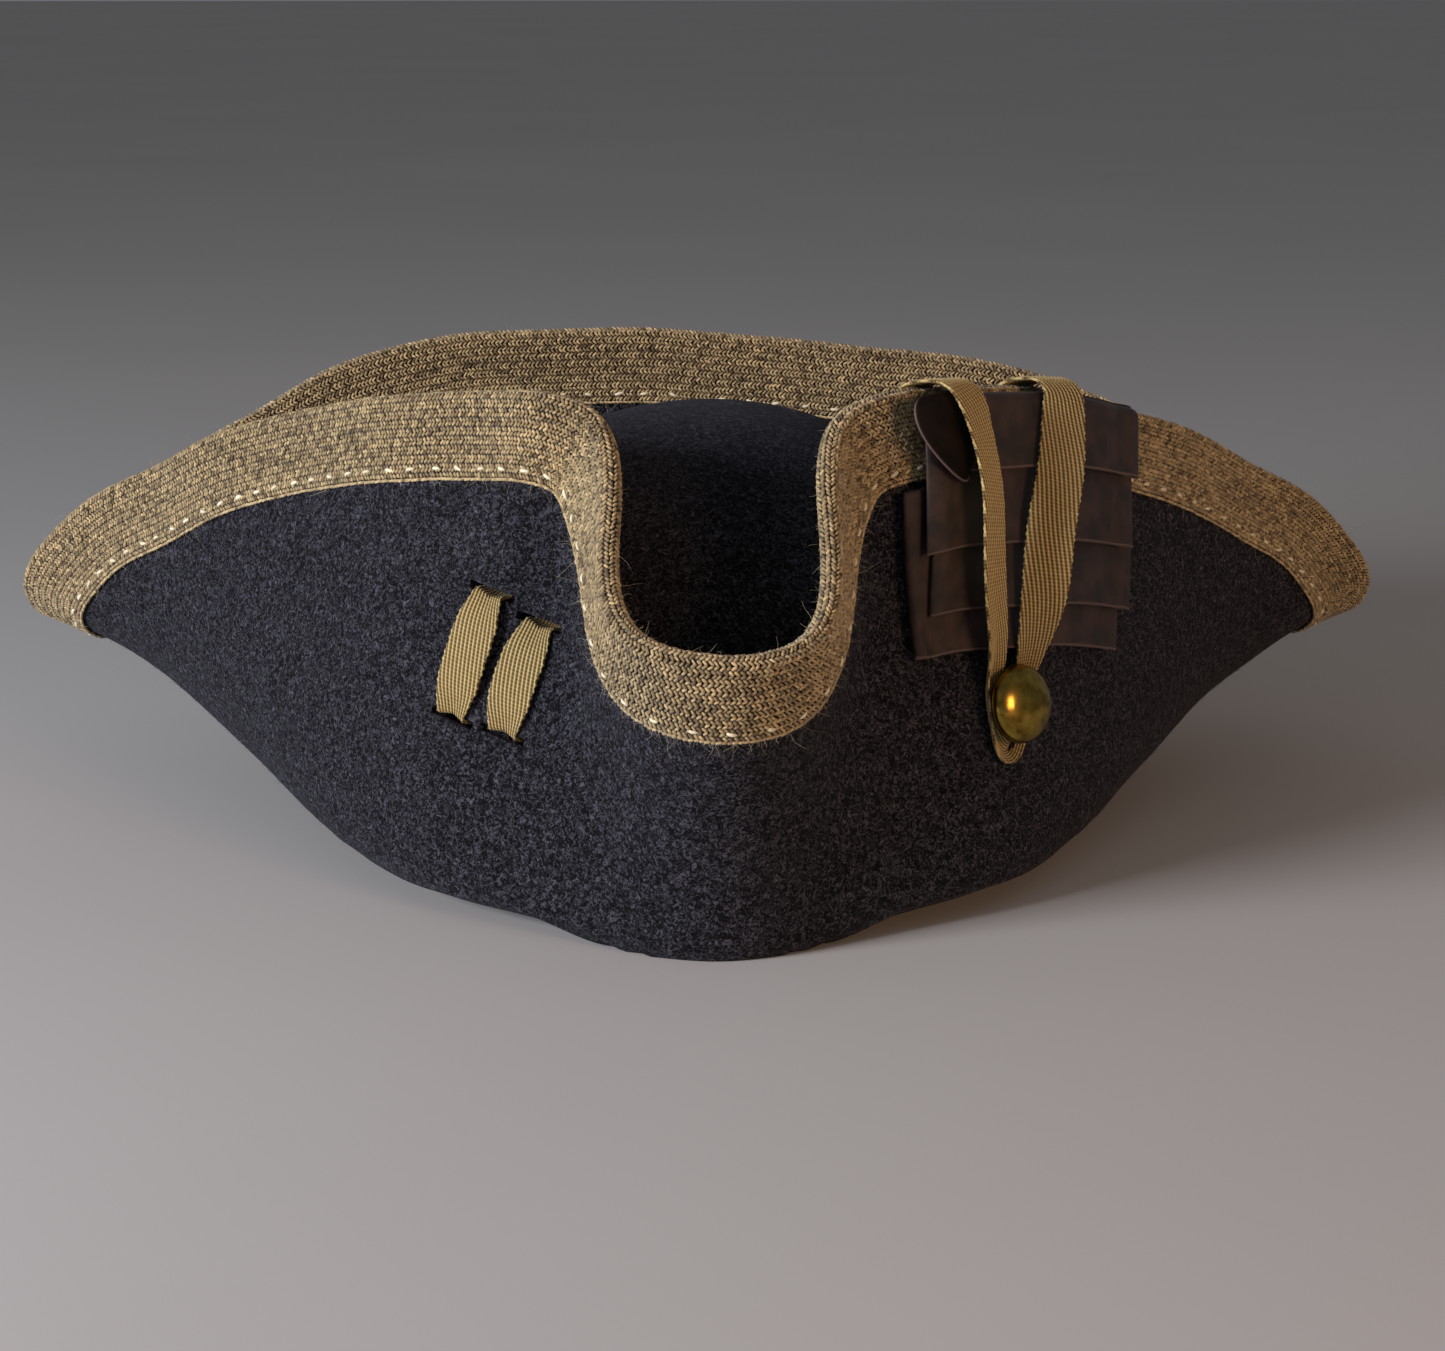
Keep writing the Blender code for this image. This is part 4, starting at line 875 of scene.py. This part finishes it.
def make_nap(rows, normals, material, draw):
    """Brushed hairs on the felt: short ones lying close, and a few stray ones."""
    for name, count, first, face, longest in NAP:
        places, outs = scatter(rows[:, first:], normals[:, first:] * face, count, draw)
        ways = unit(across(draw.normal(size=(count, 3)), outs) + outs * 0.15)
        bends = across(draw.normal(size=(count, 3)), outs) * 0.45 + outs * draw.uniform(-0.10, 0.22, (count, 1))
        lengths = draw.uniform(0.35, 1.0, count) * longest
        hairs = add_hairs(name, places + outs * (FELT / 2 + 0.02), ways, lengths, bends, HAIR, material,
                          draw.random(count) ** 2, joints=4)
        belongs(hairs, "hat", "felt_wool")


# ---------------------------------------------------------------- braid

def braid_place(felt, along, over, lift):
    """A point of the braid: over runs from its lower edge outside, over the felt's edge, to that inside."""
    along, over, lift = np.broadcast_arrays(*(np.asarray(v, float) for v in (along, over, lift)))
    turn = np.clip((over - BRAID_WIDTH) / FOLD_LENGTH, 0.0, 1.0) * math.pi
    down = np.maximum(np.maximum(BRAID_WIDTH - over, over - BRAID_WIDTH - FOLD_LENGTH), 0.0)
    return felt.at(along, down - 0.8 * lift * np.sin(turn), lift * np.cos(turn))


def braid_frames(felt, along, over, lift):
    """Places on the braid with directions along it, across it and off it."""
    places = braid_place(felt, along, over, lift)
    step = 0.4
    ways = unit(braid_place(felt, along + step, over, lift) - braid_place(felt, along - step, over, lift))
    sides = braid_place(felt, along, over + step, lift) - braid_place(felt, along, over - step, lift)
    sides = unit(across(sides, ways))
    outs = np.cross(sides, ways)
    check = braid_place(felt, along, over, lift + step) - places
    outs *= np.sign(np.sum(outs * check, axis=-1, keepdims=True))
    return places, ways, sides, outs


def make_braid(felt, yarn, ground, thread, fuzz, draw):
    """Flat plait folded over the edge: a ground painted dark as the shadow between strands, rows of slanted strands,
    stitches and stray wool.
    """
    full = 2 * BRAID_WIDTH + FOLD_LENGTH
    arcs = np.linspace(0.0, felt.edge_length, 900, endpoint=False)
    overs = np.concatenate([np.linspace(0.5, BRAID_WIDTH, 7), BRAID_WIDTH + FOLD_LENGTH * np.linspace(0.125, 0.875, 7),
                            np.linspace(full - BRAID_WIDTH, full - 0.5, 7)])
    # the ground under the strands is painted dark brown, as the shadow in the gaps between them
    faces = [braid_place(felt, arcs[:, None], overs[None], lift) for lift in (BRAID_LIFT - 0.3, FELT / 2 + 0.1)]
    belongs(add_slab("braid_shadow_ground", *faces, True, ground), "hat", "braid_wool", "edge_braid")

    rows = 2 * round(full / PLAIT_ROW / 2)
    bounds = np.linspace(0, rows, 6).astype(int)
    starts = np.arange(0.0, felt.edge_length - PLAIT_REPEAT / 2, PLAIT_REPEAT)
    for number, (first, last) in enumerate(zip(bounds[:-1], bounds[1:])):
        row = np.repeat(np.arange(first, last), len(starts))
        rising = np.where(row % 2 == 0, 1.0, -1.0)
        border = (row == 0) | (row == rows - 1)
        count = len(row)
        along = np.tile(starts, last - first) + (row // 2 % 2) * PLAIT_REPEAT / 2 + draw.normal(0.0, 0.09, count)
        over = (row + 0.5) * (full / rows) + draw.normal(0.0, 0.06, count)
        places, ways, sides, outs = braid_frames(felt, along, over, BRAID_LIFT + draw.normal(0.0, 0.06, count))
        slant = np.where(border, 12.0, PLAIT_SLANT + draw.normal(0.0, 5.0, count))
        slant = (np.radians(slant) * rising)[:, None]
        lay = unit(ways * np.cos(slant) + sides * np.sin(slant) + outs * np.where(border, 0.0, PLAIT_TILT)[:, None])
        sizes = np.array(STRAND) * draw.normal(1.0, 0.08, (count, 3))
        drift = np.array([noise.noise(Vector((float(a) / 26.0, float(o) / 8.0, 0.0))) for a, o in zip(along, over)])
        shade = 0.38 + 0.12 * drift + draw.normal(0.0, 0.20, count) + (draw.random(count) < 0.06) * 0.35 + border * 0.2
        strands = add_grains("braid_rows_%d" % (number + 1), places, lay, outs, sizes, yarn, np.clip(shade, 0, 1),
                             sides=4)
        belongs(strands, "hat", "braid_wool")
    make_stitches(felt, thread, draw, full)
    make_fuzz(felt, fuzz, draw, full)


def make_stitches(felt, thread, draw, full):
    """Cream running stitch near both lower edges of the braid."""
    back = felt.edge_length / 2
    along = np.arange(-back + 5.0, back - 5.0, STITCH_PITCH)
    along = np.concatenate([along, along + 0.6])
    over = np.repeat([STITCH_INSET, full - STITCH_INSET], len(along) // 2)
    along = along + draw.normal(0.0, 0.35, len(along))
    places, ways, sides, outs = braid_frames(felt, along, over, BRAID_LIFT + 0.45)
    lay = unit(ways + sides * draw.normal(0.0, 0.22, (len(along), 1)))
    sizes = np.array(STITCH) * draw.normal(1.0, 0.07, (len(along), 3))
    stitches = add_grains("braid_stitches", places, lay, outs, sizes, thread, draw.uniform(0.4, 1.0, len(along)),
                          sides=8, stops=(-0.85, -0.5, 0.0, 0.5, 0.85), dip=0.45)
    belongs(stitches, "hat", "braid_wool")


def make_fuzz(felt, fuzz, draw, full):
    """Stray wool along the braid's edges and fold, thickest round the dip in the front."""
    back = felt.edge_length / 2
    count = FUZZ_COUNT
    front = draw.random(count) < 0.3
    along = np.where(front, draw.normal(0.0, 55.0, count), draw.uniform(-back, back, count))
    near = draw.integers(0, 3, count)
    over = np.select([near == 0, near == 1], [draw.uniform(0.0, 2.0, count), draw.uniform(16.0, 34.0, count)],
                     draw.uniform(full - 2.0, full, count))
    places, ways, sides, outs = braid_frames(felt, along, over, BRAID_LIFT + 0.2)
    aim = np.select([near == 0, near == 1], [-0.7 * np.ones(count), np.zeros(count)], 0.7)[:, None]
    lay = unit(outs * draw.uniform(0.1, 0.7, (count, 1)) + sides * aim + 0.8 * draw.normal(size=(count, 3)))
    lengths = np.minimum(draw.gamma(1.8, 0.8, count) + 0.5, FUZZ_LONGEST)
    curls = unit(draw.normal(size=(count, 3))) * draw.uniform(0.3, 1.1, (count, 1))
    hairs = add_hairs("braid_fuzz", places, lay, lengths, curls, FUZZ_HAIR, fuzz, draw.random(count), joints=7)
    belongs(hairs, "hat", "braid_wool")


# ---------------------------------------------------------------- tapes

def tape_ribs(widths, along, columns):
    """Offsets of a tape's cross sections: across, off its face on each side, and the pattern's place."""
    spread = np.linspace(-0.5, 0.5, columns)[None]
    nominal = spread * TAPE_WIDTH
    phase = 2 * math.pi * (nominal + along[:, None] * RIB_SLANT) / RIB_PITCH
    ribs = RIB_HEIGHT * np.cos(phase)
    edge = np.clip((np.abs(spread) - 0.455) / 0.045, 0.0, 1.0)
    beads = 1.0 + 0.035 * edge * np.cos(2 * math.pi * along[:, None] / 1.9)
    gather = 1.0 - widths[:, None] / TAPE_WIDTH
    curl = gather * TAPE_WIDTH * 0.32 * (1.0 - 4 * spread ** 2) + gather * 0.3 * np.cos(spread * 4 * math.pi)
    sideways = spread * widths[:, None] * beads
    half = TAPE / 2 * (1.0 - 0.25 * edge) + ribs * (1.0 - edge)
    return sideways, curl, half, pattern_places(nominal, along[:, None])


def add_tape(name, path, sides, widths, material):
    """A ribbed tape along a path; sides give the direction of its width."""
    lengths = line_lengths(path)
    tangents = unit(np.gradient(path, axis=0))
    sides = unit(across(sides, tangents))
    faces = np.cross(tangents, sides)
    sideways, curl, half, uv = tape_ribs(widths, lengths, 45)
    centre = path[:, None] + sides[:, None] * sideways[..., None] + faces[:, None] * curl[..., None]
    off = faces[:, None] * half[..., None]
    tape = add_slab(name, centre + off, centre - off, False, material, uv=uv)
    return tape


def make_loop_tape(felt, material):
    """One tape over the brim's edge, down round the button's stem and back up."""
    route = curve_through(LOOP_TAPE_PATH, 20, closed=False)
    path = felt.at(route[:, 0], route[:, 1], route[:, 2])
    normals = felt.normal(route[:, 0], route[:, 1])
    level = unit(np.cross(unit(np.gradient(path, axis=0)), normals))
    edge_way = unit(felt.at(route[:, 0] + 1.0, route[:, 1], route[:, 2]) - path)
    heading = np.where(route[:, 0] > BUTTON_ALONG, -1.0, 1.0)[:, None]
    top = np.clip((8.0 - route[:, 1]) / 8.0, 0.0, 1.0)[:, None]
    level = unit(mix(level, edge_way * heading, top))
    tilt = np.radians(route[:, 3])[:, None]
    sides = smooth_line(level * np.cos(tilt) - normals * np.sin(tilt), 8)
    lengths = line_lengths(path)
    wanted = np.linspace(0.0, lengths[-1], int(lengths[-1] / TAPE_STEP))
    everything = at_lengths(wanted, lengths, np.concatenate([path, sides, route[:, 4:]], axis=1))
    path = smooth_line(everything[:, :3], 2.5)
    tape = add_tape("gold_loop_tape", path, everything[:, 3:6], everything[:, 6], material)
    return belongs(tape, "hat", "gold_tape", "loop_tape")


def crown_touch(place, clearance):
    """The point level with a place that stands a clearance off the crown's outer face."""
    angle = math.atan2(place[0] / HEAD_WIDTH, -place[1] / HEAD_LENGTH)
    profile = profile_at(min(max(place[2], 0.0), CROWN_HEIGHT))
    return crown_row(np.array([angle]), profile, inset=-FELT / 2 - clearance)[0]


def make_cocking_tape(felt, name, upper, lower, material):
    """A tape out through one slit and back through another, its ends sewn to the crown."""
    shares = np.linspace(0.0, 1.0, 9)
    alongs, downs = mix(upper[0], lower[0], shares), mix(upper[1], lower[1], shares)
    proud = FELT / 2 + TAPE / 2 + RIB_HEIGHT + 0.3 + 1.1 * np.sin(math.pi * shares)
    outer = felt.at(alongs, downs, proud)
    inner = felt.at(alongs[[0, -1]], downs[[0, -1]], -2.6)
    ends = [mix(place, crown_touch(place, TAPE_SEWN), TAPE_REACH) for place in inner]
    corners = np.array([ends[0], inner[0], *outer, inner[1], ends[1]])
    path = smooth_line(even_line(corners, 0.55), 1.6)
    to_slits = np.minimum(*(np.linalg.norm(path - outer[k], axis=1) for k in (0, -1)))
    outside = np.sum((path - (outer[0] + outer[-1]) / 2) * (outer[-1] - outer[0]), axis=1) ** 2
    outside = outside < (np.sum((outer[-1] - outer[0]) ** 2) / 2) ** 2
    widths = TAPE_WIDTH * (1.0 - 0.34 * np.where(outside, np.exp(-(to_slits / 5.5) ** 2), 1.0))
    widths = smooth_line(widths[:, None], 2.0)[:, 0]
    normal = felt.normal(alongs[4], downs[4])
    sides = np.tile(np.cross(unit(outer[-1] - outer[0]), normal), (len(path), 1))
    tape = add_tape(name + "_twill", path, sides, widths, material)
    return belongs(tape, "hat", "gold_tape", name)


# ---------------------------------------------------------------- cockade

def loop_outline(start, end, low, high, gape):
    """Along and lift round a pressed loop whose left fold stands open by gape."""
    middle = (low + high) / 2
    knots = [
        (mix(start, end, 0.5), high),
        (end - 6.0, high),
        (end - 0.8, high - 0.15),
        (end, middle),
        (end - 0.8, low + 0.15),
        (end - 6.0, low),
        (mix(start, end, 0.5), low),
        (start + 22.0, low),
        (start + 9.0, low - 0.05 * gape),
        (start + 2.2, low + 0.25 * gape),
        (start, middle + 0.55 * gape),
        (start + 2.6, high + 1.0 * gape),
        (start + 9.0, high + 0.75 * gape),
        (start + 18.0, high + 0.1 * gape),
    ]
    return curve_through([(along, lift, 0.0) for along, lift in knots], 16, closed=True)[:, :2]


def roll_over(down, lift, start, radius):
    """A ribbon's upper part bent back over the brim's edge."""
    turn = np.clip((start - down) / radius, 0.0, math.radians(105.0))
    return np.where(turn > 0, start - radius * np.sin(turn), down), lift - radius * (1.0 - np.cos(turn))


def make_cockade(felt, ribbon, backing):
    """Pressed ribbon loops, each higher than the last; the top one rolls over the edge."""
    for number, (start, end, lower) in enumerate(LOOPS):
        top = number == len(LOOPS) - 1
        low = LOOP_LIFT + LOOP_STEP * number
        outline = loop_outline(start, end, low, low + LOOP_DEPTH - RIBBON, GAPES[number])
        inward = unit(np.roll(outline, -1, axis=0) - np.roll(outline, 1, axis=0))[:, ::-1] * np.array([1.0, -1.0])
        upper = -2.6 if top else max(lower - RIBBON_HEIGHT, 0.5)
        drop = np.linspace(0.0, lower - upper, 34)
        faces = []
        for side in (-0.5, 0.5):
            hem = 1.0 + 0.8 * np.exp(-(drop / HEM_RUN) ** 2)
            along = outline[:, None, 0] + inward[:, None, 0] * side * RIBBON * hem
            lean = mix(START_LEANS[number], END_LEAN, np.clip((along - start) / (end - start), 0.0, 1.0))
            along = along + lean * drop
            lift = outline[:, None, 1] + inward[:, None, 1] * side * RIBBON * hem
            down = np.broadcast_to(lower - drop, lift.shape)
            flutter = 0.28 * np.sin(along / 7.0 + number * 2.1) * np.exp(-drop / 14.0)
            down = down + 0.35 * np.sin(along / 23.0 + number) - 3.4 * np.clip((102.0 - along) / 12.0, 0.0, 1.3) ** 2
            lift = lift + flutter
            if top:
                down, lift = roll_over(down, lift, 3.6, 3.0)
            faces.append(felt.at(along, down, lift))
        turn = line_lengths(np.concatenate([outline, outline[:1]]))
        loop = add_slab("cockade_ribbon_%d" % (len(LOOPS) - number), *faces, True, ribbon,
                        uv=pattern_places(turn[:-1, None], drop[None]))
        belongs(loop, "hat", "satin_ribbon", "cockade_fold_%d" % (len(LOOPS) - number))
    make_curl(felt, ribbon)
    frame["nodes"]["cockade_backing"].data.materials[0] = backing


def make_curl(felt, ribbon):
    """The top loop's forward end, rolled open on a slant so that its inside shows, its inner face painted dark as
    shade.
    """
    top, bottom, near, far = np.array(CURL_RIM)
    turns = np.linspace(0.0, 2 * math.pi, CURL_AROUND, endpoint=False)[:, None]
    reach = np.linspace(0.0, 1.0, CURL_ALONG)[None, :]
    ease = (reach ** 0.8)[..., None]
    along, down, half_height, half_depth = CURL_END
    lift = LOOP_LIFT + LOOP_STEP * 3 + LOOP_DEPTH / 2
    rim = (top + bottom) / 2 + (bottom - top) / 2 * np.cos(turns) + (near - far) / 2 * np.sin(turns)
    end = np.concatenate([along + 0.0 * turns, down + half_height * np.cos(turns),
                          lift + half_depth * np.sin(turns)], axis=1)
    places = mix(rim[:, None], end[:, None], ease)
    places[..., 2] = mix(rim[:, 2:], end[:, 2:], reach ** 0.35)
    sheet = felt.at(places[..., 0], places[..., 1], places[..., 2])
    around = np.roll(sheet, -1, axis=0) - np.roll(sheet, 1, axis=0)
    out = unit(np.cross(around, np.gradient(sheet, axis=1)))
    lengths = row_reaches(sheet)
    off = out * (1.0 + 0.6 * np.exp(-(lengths / HEM_RUN) ** 2)[..., None]) * RIBBON / 2
    curl = add_slab("cockade_curl", sheet + off, sheet - off, True, ribbon,
                    uv=pattern_places(turns * 7.5, lengths))
    # the inner faces take a copy of the satin with painted shade: darker, with less sheen and shine
    curl.data.materials.append(satin("ribbon_inside_painted_shade", 0.28))
    corners = np.empty(len(curl.data.loops), dtype=np.int32)
    curl.data.loops.foreach_get("vertex_index", corners)
    inner = corners.reshape(-1, 4).min(axis=1) >= sheet.shape[0] * sheet.shape[1]
    curl.data.polygons.foreach_set("material_index", inner.astype(np.int32))
    belongs(curl, "hat", "satin_ribbon")


# ---------------------------------------------------------------- button

def make_button(brass, dark_brass, waxed):
    """Domed brass cap with a rolled rim; its plate, eye and thread are the CAD's own."""
    joint = [j for j in frame["joints"] if j["name"] == "button_turn"][0]
    normal = Vector(joint["axis"]).normalized()
    place = Vector(joint["pos_m"]) + normal * BUTTON_BACK_HEIGHT * MM
    turned = normal.to_track_quat("Z", "Y").to_matrix().to_4x4()
    bpy.ops.object.select_all(action="DESELECT")
    bpy.ops.mesh.primitive_uv_sphere_add(segments=72, ring_count=36, radius=BUTTON_RADIUS * MM)
    dome = bpy.context.object
    bpy.ops.object.mode_set(mode="EDIT")
    bpy.ops.mesh.select_all(action="SELECT")
    bpy.ops.transform.resize(value=(1.0, 1.0, (BUTTON_RISE - BUTTON_LIP) / BUTTON_RADIUS))
    bpy.ops.mesh.bisect(plane_co=(0.0, 0.0, 0.0), plane_no=(0.0, 0.0, 1.0), clear_inner=True, use_fill=False)
    bpy.ops.mesh.select_all(action="DESELECT")
    bpy.ops.mesh.select_mode(type="VERT")
    bpy.ops.mesh.select_non_manifold()
    bpy.ops.mesh.extrude_region_move(TRANSFORM_OT_translate={"value": (0.0, 0.0, -BUTTON_LIP * MM)})
    bpy.ops.object.mode_set(mode="OBJECT")
    shell = dome.modifiers.new("wall", "SOLIDIFY")
    shell.thickness = BUTTON_WALL * MM
    shell.offset = -1.0
    bpy.ops.object.modifier_apply(modifier="wall")
    bpy.ops.object.select_all(action="DESELECT")
    bpy.ops.mesh.primitive_torus_add(major_radius=(BUTTON_RADIUS - 0.15) * MM, minor_radius=RIM_RADIUS * MM,
                                     major_segments=72, minor_segments=12)
    rim = bpy.context.object
    rim.data.transform(Matrix.Translation((0.0, 0.0, -0.75 * MM)))
    for thing, name, material in ((dome, "button_cap", brass), (rim, "button_rim", dark_brass)):
        thing.name = name
        thing.data.transform(Matrix.Translation(place) @ turned @ Matrix.Translation((0.0, 0.0, BUTTON_LIP * MM)))
        thing.data.shade_smooth()
        thing.data.materials.append(material)
    belongs(dome, "button", "brass", "button_dome")
    belongs(rim, "button", "brass")
    for node, material in (("button_back", dark_brass), ("button_shank", dark_brass), ("button_thread", waxed)):
        frame["nodes"][node].data.materials[0] = material


# ---------------------------------------------------------------- inside the crown

def crown_shell(name, profile_angles, insets, material, ripple=0.0, waves=0, pole=False):
    """A thin cloth or leather layer inside the crown, between two profile angles."""
    angles = np.linspace(0.0, 2 * math.pi, 480, endpoint=False)
    faces = []
    for inset in insets:
        rings = []
        for step, profile in enumerate(profile_angles):
            gather = ripple * (step / len(profile_angles)) * np.cos(waves * angles)
            _, outward = crown_oval(angles)
            rings.append(crown_row(angles, profile, inset) - outward * np.abs(gather)[:, None])
        faces.append(np.stack(rings, axis=1))
    rows = faces[0]
    uv = pattern_places(angles[:, None] * HEAD_WIDTH / 2, row_reaches(rows))
    poles = None
    if pole:
        faces = [face[:, ::-1] for face in faces]
        poles = [UP * (CROWN_HEIGHT - inset) for inset in insets]
    return add_slab(name, *faces, True, material, uv=uv, poles=poles)


def ring_stitches(name, profile, inset, spacing, size, thread, lean, draw):
    """A ring of small stitches inside the crown."""
    angles = np.linspace(0.0, 2 * math.pi, 2400, endpoint=False)
    ring = crown_row(angles, profile, inset)
    lengths = line_lengths(np.concatenate([ring, ring[:1]]))
    count = int(lengths[-1] / spacing)
    spots = np.interp(np.arange(count) * lengths[-1] / count, lengths, np.arange(len(lengths))) * 2 * math.pi / 2400
    places = crown_row(spots, profile, inset)
    ways = unit(crown_row(spots + 0.01, profile, inset) - places)
    higher = unit(crown_row(spots, profile + 2.0, inset) - places)
    outs = -np.cross(ways, higher)
    outs *= np.sign(-np.sum(outs * places, axis=1, keepdims=True))
    lay = unit(ways * math.cos(lean) + higher * math.sin(lean))
    sizes = np.array(size) * draw.normal(1.0, 0.05, (count, 3))
    stitches = add_grains(name, places, lay, outs, sizes, thread, draw.uniform(0.4, 1.0, count), sides=6,
                          stops=(-0.7, 0.0, 0.7), dip=0.25)
    return belongs(stitches, "hat", "linen_lining")


def make_inside(linen, hide, thread, draw):
    """Gathered linen lining with an oval tip, and a leather sweatband stitched in at the headline."""
    side = crown_shell("lining_wall", np.linspace(profile_at(4.0), LINING_SEAM - 0.2, 22), LINING_INSETS, linen,
                       ripple=0.35, waves=96)
    tip = crown_shell("lining_crown", np.linspace(LINING_SEAM + 0.2, 88.0, 18), LINING_INSETS, linen, pole=True)
    belongs(side, "hat", "linen_lining", "lining_side")
    belongs(tip, "hat", "linen_lining", "lining_tip")
    band = crown_shell("leather_band", np.linspace(profile_at(0.5), profile_at(BAND_HEIGHT), 12), BAND_INSETS, hide)
    belongs(band, "hat", "sweatband_leather", "sweatband")
    ring_stitches("lining_seam_stitches", LINING_SEAM, LINING_INSETS[1] + 0.1, 3.2, (2.4, 0.6, 0.5), thread, 0.2, draw)
    ring_stitches("sweatband_stitches", profile_at(2.2), BAND_INSETS[1] + 0.1, 4.2, (3.2, 0.7, 0.6), thread, 0.0, draw)
    ring_stitches("sweatband_top_stitches", profile_at(BAND_HEIGHT - 2.0), BAND_INSETS[1] + 0.05, 3.4,
                  (2.4, 0.55, 0.45), thread, 0.0, draw)


# ---------------------------------------------------------------- the hat

make_camera()
make_studio()
draw = np.random.default_rng(RANDOM_SEED)
felt = Felt()
rows, normals = felt_rows(felt)
wool = felt_wool()
make_felt(felt, rows, normals, wool)
make_nap(rows, normals, shaded_wool("felt_hairs", "#0d0d12", "#60616c", sheen=0.2), draw)
yarn = shaded_wool("braid_yarn", "#453520", "#cdb585")
make_braid(felt, yarn, shaded_wool("braid_shadow", "#1c150c", "#3a2e1c", sheen=0.1),
           shaded_wool("cream_thread", "#b8ab86", "#efe7c8", 0.6), shaded_wool("braid_hairs", "#6d604a", "#cfc4a6"),
           draw)
tape = gold_twill()
make_loop_tape(felt, tape)
for tape_name, upper, lower in tape_slits(felt):
    make_cocking_tape(felt, tape_name, upper, lower, tape)
make_cockade(felt, satin(), cloth("buckram", "#0b0b0b", "#1c1b1a", 0.9))
make_button(metal("aged_brass", "#6e5820", "#b89a48", 0.2), metal("dull_brass", "#2a2110", "#5c4c22", 0.42),
            cloth("waxed_thread", "#0c0b0a", "#1b1917", 0.3))
make_inside(cloth("linen_lining", "#8a7b5c", "#c9bd9c", 0.55), leather(), bpy.data.materials["cream_thread"], draw)
